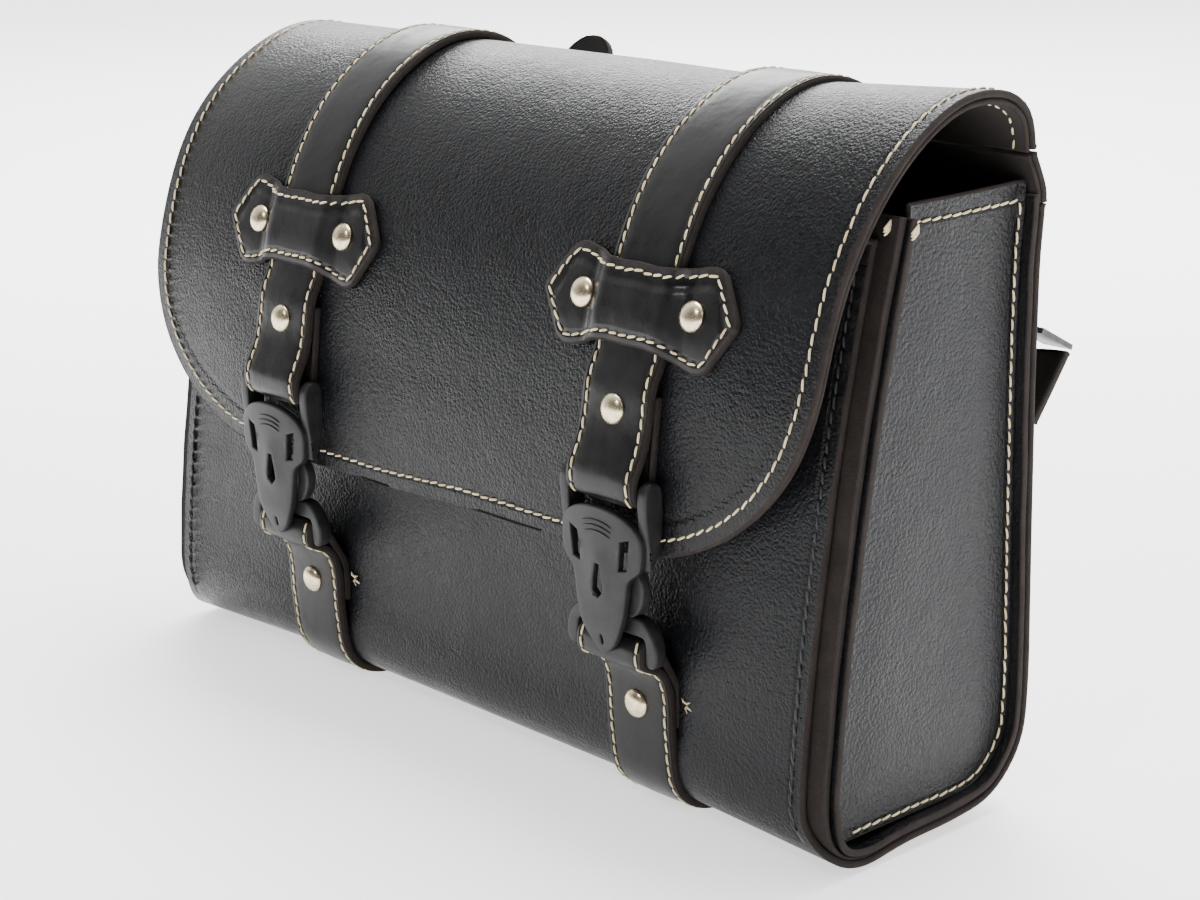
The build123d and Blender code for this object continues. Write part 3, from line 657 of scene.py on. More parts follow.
def lathe(name, centres, normals, prof, mats, body, seg=40, replaces=()):
    """Revolved shapes (radius, height) about each normal, all in one piece."""
    V, Fc = [], []
    for c, nn in zip(centres, normals):
        c, nn = np.array(c, float), np.array(nn, float)
        nn /= np.linalg.norm(nn)
        a = np.cross(nn, [1, 0, 0.0]); a /= np.linalg.norm(a)
        b_ = np.cross(nn, a)
        base = len(V)
        for rr, hh in prof:
            for q in range(seg):
                th = 2 * math.pi * q / seg
                V.append(c + nn * hh + a * rr * math.cos(th) + b_ * rr * math.sin(th))
        for i in range(len(prof) - 1):
            for q in range(seg):
                p0 = base + i * seg
                Fc.append((p0 + q, p0 + (q + 1) % seg, p0 + seg + (q + 1) % seg, p0 + seg + q))
        V.append(c + nn * (prof[-1][1]))
        for q in range(seg):
            p0 = base + (len(prof) - 1) * seg
            Fc.append((p0 + q, p0 + (q + 1) % seg, len(V) - 1))
    me = bpy.data.meshes.new(name)
    me.from_pydata(row(V).tolist(), [], Fc)
    bm = bmesh.new(); bm.from_mesh(me)
    bmesh.ops.recalc_face_normals(bm, faces=bm.faces)
    bm.to_mesh(me); bm.free()
    me.polygons.foreach_set("use_smooth", [True] * len(me.polygons))
    return finish_piece(me, name, mats, body, replaces)


def smooth_outline(pts, closed=True, n=6, hard=()):
    """Catmull-Rom through the points, hard corners kept."""
    P = [np.array(p, float) for p in pts]
    k = len(P)
    out = []
    for i in range(k if closed else k - 1):
        p0, p1, p2, p3 = P[(i - 1) % k], P[i], P[(i + 1) % k], P[(i + 2) % k]
        if not closed and i == 0:
            p0 = p1
        if not closed and i == k - 2:
            p3 = p2
        if i in hard:
            p0 = p1
        if (i + 1) % k in hard:
            p3 = p2
        for j in range(n):
            t = j / n
            out.append(0.5 * ((2 * p1) + (-p0 + p2) * t + (2 * p0 - 5 * p1 + 4 * p2 - p3) * t * t + (-p0 + 3 * p1 - 3 * p2 + p3) * t ** 3))
    if not closed:
        out.append(P[-1])
    return [tuple(map(float, o)) for o in out]


def plate(name, outline, holes, y0, y1, bev, mats, body, bend=None, replaces=(), fine=1.6, axis="y"):
    """Moulded plate: 2D outline in (x, z) with holes, between y0 (front) and y1, edges
    rounded by bev. bend(x, z) gives a forward shift in mm."""
    cu = bpy.data.curves.new(name + "_c", "CURVE")
    cu.dimensions = "2D"
    cu.fill_mode = "BOTH"
    for loop in [outline] + list(holes):
        sp = cu.splines.new("POLY")
        sp.points.add(len(loop) - 1)
        for p, (a, b_) in zip(sp.points, loop):
            p.co = (a, b_, 0, 1)
        sp.use_cyclic_u = True
    half = (y1 - y0) / 2
    cu.extrude = max(0.01, half - bev)
    cu.bevel_depth = bev
    cu.bevel_resolution = 2
    cu.offset = -bev
    ob = bpy.data.objects.new(name + "_c", cu)
    bpy.context.scene.collection.objects.link(ob)
    dg = bpy.context.evaluated_depsgraph_get()
    me = bpy.data.meshes.new_from_object(ob.evaluated_get(dg))
    bpy.data.objects.remove(ob)
    bpy.data.curves.remove(cu)
    bm = bmesh.new(); bm.from_mesh(me)
    bmesh.ops.remove_doubles(bm, verts=bm.verts, dist=1e-4)
    bmesh.ops.triangulate(bm, faces=bm.faces)
    for _ in range(3):
        long_ = [e for e in bm.edges if e.calc_length() > fine and abs(e.verts[0].co.z - e.verts[1].co.z) < 1e-3]
        if not long_:
            break
        bmesh.ops.subdivide_edges(bm, edges=long_, cuts=1)
        bmesh.ops.triangulate(bm, faces=[f for f in bm.faces if len(f.verts) > 3])
    bmesh.ops.recalc_face_normals(bm, faces=bm.faces)
    ym = (y0 + y1) / 2
    for v in bm.verts:
        a, b_, c = v.co
        if axis == "y":
            f = bend(a, b_) if bend else 0.0
            q = row((a, ym - c - f, b_))
        else:
            q = row((ym + c, a, b_))
        v.co = Vector(q)
    bmesh.ops.recalc_face_normals(bm, faces=bm.faces)
    bm.to_mesh(me); bm.free()
    me.name = name
    me.polygons.foreach_set("use_smooth", [True] * len(me.polygons))
    ang = math.radians(38)
    bm = bmesh.new(); bm.from_mesh(me)
    for e in bm.edges:
        if len(e.link_faces) == 2 and e.calc_face_angle(0.0) > ang:
            e.smooth = False
    bm.to_mesh(me); bm.free()
    me.materials.clear()
    return finish_piece(me, name, mats, body, replaces)


def tube(name, pts, rad, mats, body, seg=10, closed=False):
    """Round bar through points in pattern mm, rad a number or one per point."""
    P = np.array(pts, float)
    n = len(P)
    rr = np.broadcast_to(np.asarray(rad, float), (n,))
    T = np.gradient(P, axis=0)
    T /= np.linalg.norm(T, axis=1)[:, None]
    ref = np.array([0, 0, 1.0]) if abs(T[0][2]) < 0.9 else np.array([1.0, 0, 0])
    V, Fc = [], []
    for i in range(n):
        a = np.cross(T[i], ref); a /= np.linalg.norm(a)
        b_ = np.cross(T[i], a)
        for q in range(seg):
            th = 2 * math.pi * q / seg
            V.append(P[i] + rr[i] * (a * math.cos(th) + b_ * math.sin(th)))
    for i in range(n - 1):
        for q in range(seg):
            Fc.append((i * seg + q, i * seg + (q + 1) % seg, (i + 1) * seg + (q + 1) % seg, (i + 1) * seg + q))
    Fc.append(tuple(range(seg))[::-1])
    Fc.append(tuple((n - 1) * seg + q for q in range(seg)))
    me = bpy.data.meshes.new(name)
    me.from_pydata(row(V).tolist(), [], Fc)
    bm = bmesh.new(); bm.from_mesh(me)
    bmesh.ops.recalc_face_normals(bm, faces=bm.faces)
    bm.to_mesh(me); bm.free()
    me.polygons.foreach_set("use_smooth", [True] * len(me.polygons))
    return finish_piece(me, name, mats, body)


def path_on(prof, s, x, lift, h):
    """Points and normals on a profile surface for stitch lines."""
    s, x = np.asarray(s, float), np.asarray(x, float)
    s, x = np.broadcast_arrays(s, x)
    hh = h + (lift(x, s) if lift is not None else 0.0)
    y, z, ny, nz = prof.at(s + (flap_slide(x, s) if prof is F else 0.0), hh)
    return np.stack([x, y, z], 1), np.stack([0 * x, ny, nz], 1)


# ------------------------------------------------------------- main panel
s_ft = U.s_at_z(FRONT_TOP, 0, 60)
s_corner = U.s_at_z(18.0, 0, 230)


def panel_half(s):
    """Half width of the panel: cut back on the front, full on bottom and back."""
    return PANEL_F + (PANEL_B - PANEL_F) * sst(s_corner - 1.0, s_corner + 20.0, s)


ss = spaced(s_ft, S_HB, 3.6, near=np.linspace(s_corner - 5, s_corner + 45, 26))
u = spaced(-1, 1, 0.034, fine=(0, 0.006, 0.014, 0.026, 0.036, 0.05))
X = panel_half(ss)[:, None] * u[None, :]
B, N, X, S = prof_grid(U, ss, X, panel_lift)
inset = panel_half(S) - np.abs(X)
seam = np.where(S < s_corner + 8, inset - 4.6, np.where(S > U_CB, inset - 4.6, 50.0))
seam = np.where(S < s_ft + 8, np.minimum(np.abs(seam), np.abs(S - s_ft - 5.0)), seam)
thick("panel_main", B, N, 2.6, ["panel", "edge", "edge_dark"], "bag", seam=seam, edge=np.minimum(inset, S - s_ft),
      replaces=["main_panel"])
for side, k in SIDES:
    sl = np.linspace(s_ft + 6, s_corner + 4, 90)
    P_, N_ = path_on(U, sl, k * (panel_half(sl) - 4.6), panel_lift, 0.0)
    stitches(f"stitch_panel_front_{side}", P_, N_, "bag", mat="thread_dark", seed=11 + k)
    sl = np.linspace(s_corner + 20, S_HB - 4, 120)
    P_, N_ = path_on(U, sl, k * (PANEL_B - 4.6), panel_lift, 0.0)
    stitches(f"stitch_panel_back_{side}", P_, N_, "bag", seed=13 + k)
xs_ = np.linspace(-156, 156, 60)
P_, N_ = path_on(U, s_ft + 5.0, xs_, panel_lift, 0.0)
stitches("stitch_panel_top", P_, N_, "bag", seed=17)

# lining behind it
ss = spaced(s_ft + 4, U.L - 0.5, 6.0)
B, N, X, S = prof_grid(U, ss, spaced(-157, 157, 7.0), panel_lift, -2.66)
thick("lining_body", B, N, 0.9, ["cloth", "cloth", "cloth"], "bag", replaces=["body_lining"])

# hinge strips: the back panel runs on into the flap
HB0 = row((0, 47.5, 190.0)); HB1 = row((0, 47.5, 205.0))
HINGE_BLEND = ("bag", "flap", tuple(HB0), tuple(HB1))
H_PTS = [(47.5, 189.9), (47.5, 193.5), (47.5, 197.0), (47.45, 200.5), (47.0, 205.1)]
yy, zz, _, _ = F.at(S_HF)
H = Prof([(47.5, 190.0), (47.5, 194.0), (47.45, 198.0), (47.35, 201.5), (float(yy), float(zz))], 2.0)


def strip_half(s):
    return PANEL_B + (FLAP_HALF - PANEL_B) * sst(2, H.L, s)


ss = np.linspace(0, H.L, 15)
u = spaced(-1, 1, 0.05, fine=(0, 0.006, 0.014, 0.026, 0.036, 0.05))
B, N, X, S = prof_grid(H, ss, strip_half(ss)[:, None] * u[None, :])
thick("hinge_outer", B, N, 2.4, ["flap", "edge", "edge_dark"], HINGE_BLEND, seam=strip_half(S) - np.abs(X) - 5.4,
      edge=strip_half(S) - np.abs(X), r=0.4)
B, N, X, S = prof_grid(H, ss, strip_half(ss)[:, None] * u[None, :] * 0.998, None, -2.45)
thick("hinge_inner", B, N, 2.0, ["inner", "edge", "inner"], HINGE_BLEND, r=0.4)
for side, k in SIDES:
    P_, N_ = path_on(H, np.linspace(0.5, H.L - 0.5, 10), k * (FLAP_HALF - 4.2), None, 0.0)
    stitches(f"stitch_hinge_{side}", P_, N_, HINGE_BLEND, seed=21 + k)

# ------------------------------------------------------------------- flap
R_S = F.L - FLAP_R        # where the rounded corners start


CR = {-1: 58.0, 1: 71.0}      # corner radii, left and right


def flap_wide(s, k):
    """Half width of the flap above its corners; the right end is a little fuller on top."""
    s = np.asarray(s, float)
    return FLAP_HALF + (2.6 if k > 0 else 0.0) * sst(S_HF, S_HF + 20, s) * (1 - sst(F_TOP + 10, F_TOP + 80, s))


def flap_half(s, k, inset=0.0):
    """Half width of the flap on one side at arc length s, for an outline inset by some mm."""
    s = np.asarray(s, float)
    r = CR[k] - inset
    d = np.clip((s - (F.L - CR[k])) / r, 0, 1)
    return flap_wide(s, k) - CR[k] + r * np.sqrt(np.maximum(0, 1 - d * d))


def flap_rows(s0, inset=0.0, step=3.4):
    r = 71.0 - inset
    lin = spaced(s0, F.L - 71.0, step, fine=(0, 0.9, 2.2, 4.0))
    th = np.linspace(0, 90, 38)[1:]
    return np.r_[lin, F.L - 71.0 + r * np.sin(np.radians(th))]


def flap_edge_distance(X, S):
    """Distance inside the flap outline."""
    ax = np.abs(X)
    R_ = np.where(X > 0, CR[1], CR[-1])
    W_ = np.where(X > 0, flap_wide(S, 1), flap_wide(S, -1))
    rr = np.hypot(np.maximum(0, ax - (W_ - R_)), np.maximum(0, S - (F.L - R_)))
    corner = (ax > W_ - R_) & (S > F.L - R_)
    return np.where(corner, R_ - rr, np.minimum(W_ - ax, F.L - S))


def flap_layer(name, h, t, inset, mats, replaces, seam_at=5.6, lift=flap_lift):
    ss = flap_rows(S_HF, inset)
    u = spaced(-1, 1, 0.034, fine=(0, 0.006, 0.014, 0.026, 0.036, 0.05))
    X = np.where(u[None, :] > 0, flap_half(ss, 1, inset)[:, None], flap_half(ss, -1, inset)[:, None]) * u[None, :]
    B, N, X, S = prof_grid(F, ss, X, lift, h)
    d = flap_edge_distance(X, S)
    return thick(name, B, N, t, mats, "flap", seam=d - seam_at, edge=d, replaces=replaces)


flap_layer("flap_skin", 0.0, 2.3, 0.0, ["flap", "edge", "edge_dark"], ["flap_outer"])
flap_layer("flap_backing", -2.46, 2.0, 0.7, ["inner", "edge", "inner"], ["flap_inner"])
# sewing round the flap, 5.6 mm inside its edge
ins = 5.6
side_line = {}
for k in (1, -1):
    a1 = np.linspace(S_HF + 1, F.L - CR[k], 90)
    th = np.radians(np.linspace(0, 90, 40))[1:]
    side_line[k] = (np.r_[a1, F.L - CR[k] + (CR[k] - ins) * np.sin(th)],
                    np.r_[flap_wide(a1, k) - ins, FLAP_HALF - CR[k] + (CR[k] - ins) * np.cos(th)])
mid_x = np.linspace(FLAP_HALF - CR[1], -(FLAP_HALF - CR[-1]), 82)[1:-1]
sl = np.r_[side_line[1][0], np.full(80, F.L - ins), side_line[-1][0][::-1]]
xl = np.r_[side_line[1][1], mid_x, -side_line[-1][1][::-1]]
P_, N_ = path_on(F, sl, xl, flap_lift, 0.0)
stitches("stitch_flap", P_, N_, "flap", seed=31)
P2, N2 = path_on(F, sl, xl, flap_lift, -4.46)
stitches("stitch_flap_inside", P2, -N2, "flap", seed=32, slant=-9)


# ------------------------------------------------------ straps over the flap
def on_flap(z, h=0.0, x=0.0):
    s = F.s_at_z(z, F_TOP, None)
    hh = h + float(flap_lift(x, s))
    y, zz, ny, nz = F.at(s, hh)
    return float(y), float(zz), float(ny), float(nz)


def on_front(z, h=0.0):
    s = U.s_at_z(z, 0, s_corner + 8)
    y, zz, ny, nz = U.at(s, h + float(panel_lift(85.0, s)))
    return float(y), float(zz), float(ny), float(nz)


def strap_grid(prof, s0, s1, cx, half=15.0, crown=0.35, step=2.2, tip=None):
    xs = np.array([-15, -14.4, -13.4, -12.4, -11.2, -8, -4, 0, 4, 8, 11.2, 12.4, 13.4, 14.4, 15.0]) * half / 15.0
    ss = spaced(s0, s1, step, fine=(0, 0.8, 2.0))
    X = np.broadcast_to(xs, (len(ss), len(xs)))
    if tip:
        hw = np.array([half if s1 - s > tip else half * math.sqrt(max(0.02, 1 - ((tip - (s1 - s)) / tip) ** 2)) for s in ss])
        X = X * (hw / half)[:, None]
    S = np.broadcast_to(ss[:, None], X.shape)
    a = np.abs(X) / half
    h = crown * (1 - a ** 2) - 0.22 * np.exp(-((np.abs(X) - (half - 2.6)) / 0.8) ** 2)
    y, z, ny, nz = prof.at(S, h)
    B = np.stack([X + cx, y, z], 2)
    N = np.stack([0 * X, ny, nz], 2)
    return B, N, X, S


def strap(name, prof, s0, s1, cx, t, body, replaces=(), half=15.0, sew=True, seed=40,
          mats=("strap", "edge", "edge_dark"), crown=0.35, tip=None, sew_range=None):
    B, N, X, S = strap_grid(prof, s0, s1, cx, half, crown, tip=tip)
    d = half - np.abs(X)
    ob = thick(name, B, N, t, list(mats), body, seam=d - 2.6, edge=d, replaces=replaces, r=0.75)
    if sew:
        a, b_ = sew_range or (s0 + 2, s1 - 2)
        for k in (-1, 1):
            sl = np.linspace(a, b_, max(6, int((b_ - a) / 2)))
            P_, N_ = path_on(prof, sl, np.full(len(sl), cx + k * (half - 2.6)), None, 0.0)
            stitches(f"{name}_sew_{'ab'[k > 0]}", P_, N_, body, seed=seed + k, pitch=4.2, length=3.75, slant=7.0)
    return ob


BAR_T, BAR_B, WRAP = (-58.9, 107.5), (-55.8, 56.0), 2.2
Z_KEEP, Z_RIV, Z_LOW, T_ST = 161.0, 131.0, 34.0, 2.8
PROF_UP, PROF_LOW = {}, {}
for side, k in SIDES:
    cx = CX[side]
    lift0 = lambda z, h: on_flap(z, h, cx)[:2]
    # outer face of the strap, hinge to buckle bar, round it and back up behind
    over = []
    for s in np.linspace(S_HF, F.s_at_z(151.0, F_TOP, None), 60):
        y, z, _, _ = F.at(s, 0.08 + T_ST + float(flap_lift(cx, s)))
        over.append((float(y), float(z)))
    by, bz = BAR_T
    ro = WRAP + T_ST
    pts = over + [lift0(146.0, 3.0), lift0(140.5, 5.0), lift0(136.0, 5.75), lift0(131.0, 5.8), lift0(126.0, 6.0), lift0(120.0, 6.9),
                  (by - ro, bz + 4.5), (by - ro, bz)] + arc_pts(by, bz, ro, 188, 350, 14) \
        + [(by + ro, bz + 0.5), lift0(119.0, 0.1), lift0(127.0, 0.05), lift0(136.0, 0.05)]
    pr = Prof(pts, 3.2)
    PROF_UP[side] = pr
    s_bar = float(pr.s[int(np.argmin(np.hypot(pr.q[:, 0] - by, pr.q[:, 1] - (bz - ro))))])
    strap(f"strap_over_{side}", pr, 0.0, pr.L, cx, T_ST, "flap", replaces=[f"strap_upper_{side}"], seed=41 + 3 * k,
          sew_range=(1.5, s_bar - 3.0))
    # tail on the back and the strip across the hinge
    back = Prof([(47.5 + 0.05 + T_ST, 152.0), (47.5 + 0.05 + T_ST, 171.0), (47.5 + 0.05 + T_ST, 190.0)], 2.0)
    strap(f"strap_back_{side}", back, 0.0, back.L, cx, T_ST, "bag", replaces=[f"strap_tail_{side}"], seed=51 + 3 * k)
    y1, z1, _, _ = F.at(S_HF, 0.08 + T_ST + float(flap_lift(cx, S_HF)))
    hs = Prof([(47.5 + 0.05 + T_ST, 190.0), (47.5 + 0.05 + T_ST, 194.0), (50.3, 198.0), (50.15, 201.5), (float(y1), float(z1))], 2.0)
    strap(f"strap_hinge_{side}", hs, 0.0, hs.L, cx, T_ST, HINGE_BLEND, seed=61 + 3 * k, sew_range=(0.4, hs.L - 0.4))
    # lower strap: up from under the bag, round the lower bar and riveted to itself
    by, bz = BAR_B
    under = []
    s_u = float(U.s[int(np.argmin(np.abs(U.q[:, 0] - 20.0) + (U.q[:, 1] > 4) * 99))])
    for s in np.linspace(s_u, s_corner + 3, 40):
        y, z, _, _ = U.at(s, 0.06 + T_ST + float(panel_lift(cx, s)))
        under.append((float(y), float(z)))
    lp = lambda z, h: on_front(z, h)[:2]
    pts = under + [lp(23.5, 4.4), lp(28.5, 5.5), lp(34.0, 5.8), lp(38.5, 5.9), lp(43.0, 6.6), lp(47.0, 8.4),
                   (by - ro, bz - 4.5), (by - ro, bz)] + arc_pts(by, bz, ro, 172, 10, 14) \
        + [(by + ro, bz - 0.5), lp(46.5, 2.2), lp(42.5, 0.1), lp(36.0, 0.05), lp(28.5, 0.05)]
    pr = Prof(pts, 3.2)
    pr.n = -pr.n
    pl = pr
    PROF_LOW[side] = pl
    s_bar = float(pr.s[int(np.argmin(np.hypot(pr.q[:, 0] - by, pr.q[:, 1] - (bz + ro))))])
    strap(f"strap_under_{side}", pl, 0.0, pl.L, cx, T_ST, "bag", replaces=[f"strap_lower_{side}"], seed=71 + 3 * k,
          sew_range=(3.0, s_bar - 3.0))

# --------------------------------------------------------- keeper patches
HALF_K = [(0, 12.4, -12.6), (8, 12.0, -12.4), (15, 12.6, -13.2), (22, 14.6, -15.6), (27.5, 15.7, -16.7), (30, 15.5, -16.5), (33, 14.0, -15.0),
          (36, 10.0, -10.6), (39, 5.6, -6.0), (42.0, 1.0, -1.2)]
s_k = F.s_at_z(Z_KEEP, F_TOP, None)


def keeper_outline(a):
    ax = abs(a)
    xs = [p[0] for p in HALF_K]
    return float(np.interp(ax, xs, [p[1] for p in HALF_K])), float(np.interp(ax, xs, [p[2] for p in HALF_K]))


def keeper_h(a, b_):
    a = np.abs(a)
    return 2.45 + 3.15 * (1 - sst(13.2, 21.5, a)) - 0.25 * np.exp(-((a - 20.5) / 2.0) ** 2)


for side, k in SIDES:
    cx = CX[side]
    cols = np.array(sorted(set(np.round(np.r_[np.linspace(-42, 42, 57), [-42, -41.2, -40, 40, 41.2, 42, -33, 33, -27.5, 27.5, -30, 30]], 3))))
    vv = spaced(0, 1, 0.09, fine=(0, 0.03, 0.08, 0.13, 0.2))
    Bv, Nv, Dv = [], [], []
    for v in vv:
        rb, rn, rd = [], [], []
        for a in cols:
            top, bot = keeper_outline(a)
            b_ = bot + (top - bot) * v
            s = s_k - b_
            dome = 0.35 * math.sin(math.pi * v)
            h = float(keeper_h(a, b_)) + dome + float(flap_lift(cx, s))
            y, z, ny, nz = F.at(s, h)
            rb.append((cx + a, float(y), float(z)))
            rn.append((0, float(ny), float(nz)))
            e = min((top - bot) * v, (top - bot) * (1 - v), (42.6 - abs(a)) * 0.62 if abs(a) > 33 else 50)
            rd.append(e)
        Bv.append(rb); Nv.append(rn); Dv.append(rd)
    Dv = np.array(Dv)
    thick(f"keeper_patch_{side}", Bv, Nv, 2.35, ["keeper", "edge", "edge_dark"], "flap", seam=Dv - 2.9, edge=Dv, r=0.7,
          replaces=[f"keeper_{side}"])
    # sewn all round, 3 mm inside its outline
    ring_ = []
    o = [(a, keeper_outline(a)[0]) for a in np.linspace(-42, 42, 85)] + [(a, keeper_outline(a)[1]) for a in np.linspace(42, -42, 85)]
    o = np.array(o)
    dd = np.r_[0, np.cumsum(np.linalg.norm(np.diff(np.r_[o, o[:1]], axis=0), axis=1))]
    sN = np.linspace(0, dd[-1], 161)[:-1]
    oc = np.r_[o, o[:1]]
    ox, oz = np.interp(sN, dd, oc[:, 0]), np.interp(sN, dd, oc[:, 1])
    tx, tz = np.roll(ox, -1) - np.roll(ox, 1), np.roll(oz, -1) - np.roll(oz, 1)
    ml = np.hypot(tx, tz)
    ox, oz = ox + tz / ml * 2.9, oz - tx / ml * 2.9
    pth, nrm = [], []
    for a, b_ in zip(np.r_[ox, ox[:1]], np.r_[oz, oz[:1]]):
        s = s_k - b_
        top, bot = keeper_outline(a)
        dome = 0.35 * math.sin(math.pi * np.clip((b_ - bot) / max(0.1, top - bot), 0, 1))
        y, z, ny, nz = F.at(s, float(keeper_h(a, b_)) + dome + float(flap_lift(cx, s)))
        pth.append((cx + a, float(y), float(z))); nrm.append((0, float(ny), float(nz)))
    stitches(f"stitch_keeper_{side}", pth, nrm, "flap", seed=81 + k, pitch=4.1, length=3.6)

# ------------------------------------------------------------------- rivets
DOME = [(4.3, -0.35), (4.75, -0.15), (4.8, 0.25), (4.7, 0.62), (4.35, 1.15), (3.7, 1.68), (2.8, 2.1), (1.7, 2.38), (0.7, 2.49)]
cen, nor = [], []
for side, k in SIDES:
    for j in (-1, 1):
        s = s_k
        y, z, ny, nz = F.at(s, float(keeper_h(24.0, 0)) + 0.33 + float(flap_lift(CX[side], s)))
        cen.append((CX[side] + 24.0 * j, float(y), float(z))); nor.append((0, float(ny), float(nz)))
lathe("rivet_caps_keeper", cen, nor, DOME, ["rivet"], "flap", replaces=["rivets_keeper"])
lathe("rivet_backs_keeper", [np.array(c) - np.array(n) * (2.45 + 4.6 + 0.3) for c, n in zip(cen, nor)], [-np.array(n) for n in nor],
      [(3.6, -0.1), (3.6, 0.5), (3.0, 0.9), (1.2, 1.0), (0.9, 0.5)], ["rivet"], "flap")


def rivet_on(name, profs, z_riv, body, rep, lo, hi, flip=1):
    cen, nor = [], []
    for side, k in SIDES:
        pr = profs[side]
        s = pr.s_at_z(z_riv, lo, hi)
        y, z, ny, nz = pr.at(s, 0.30)
        cen.append((CX[side], float(y), float(z))); nor.append((0, float(ny), float(nz)))
    lathe(name, cen, nor, DOME, ["rivet"], body, replaces=[rep])


_s0 = float(PROF_UP["left"].s[int(np.argmax(PROF_UP["left"].q[:, 1]))])
rivet_on("rivet_caps_strap", PROF_UP, Z_RIV, "flap", "rivets_strap_upper", _s0, _s0 + 135)
rivet_on("rivet_caps_lower", PROF_LOW, Z_LOW, "bag", "rivets_strap_lower", 60, 125)

# ------------------------------------------------------------------ gussets
def u_mix(front, rest, s):
    return front + (rest - front) * sst(s_corner - 1.5, s_corner + 17.0, s)


s_gt = U.s_at_z(GUSSET_TOP, 0, 40)
s_gb = U.s_at_z(194.0, U_BK, None)


def rim_strip(name, x0, x1, h_out, h_in, s0, s1, mats, body, replaces, seam_in=None, k=1, wob=0.0, seed=0):
    """A strip of leather along the U line between two distances inside it."""
    ss = spaced(s0, s1, 3.2, near=np.linspace(s_corner - 5, s_corner + 45, 22))
    xs = spaced(x0, x1, 1.4, fine=(0, 0.6, 1.4))
    X = np.broadcast_to(xs, (len(ss), len(xs))) * k
    S = np.broadcast_to(ss[:, None], X.shape)
    ho = np.array([h_out(s) for s in ss])[:, None] + 0 * X
    hi = np.array([h_in(s) for s in ss])[:, None] + 0 * X
    xw = wob * wave(0 * S, S, seed, 12.0) * (np.abs(X) > (x0 + x1) / 2)
    y, z, ny, nz = U.at(S, ho + rim_lift(S))
    B = np.stack([X + k * xw, y, z], 2)
    N = np.stack([0 * X, ny, nz], 2)
    d = np.minimum(np.abs(np.abs(X) - x1), np.abs(np.abs(X) - x0))
    return thick(name, B, N, hi * -1 + ho, mats, body, seam=None, edge=d, replaces=replaces, r=0.45)


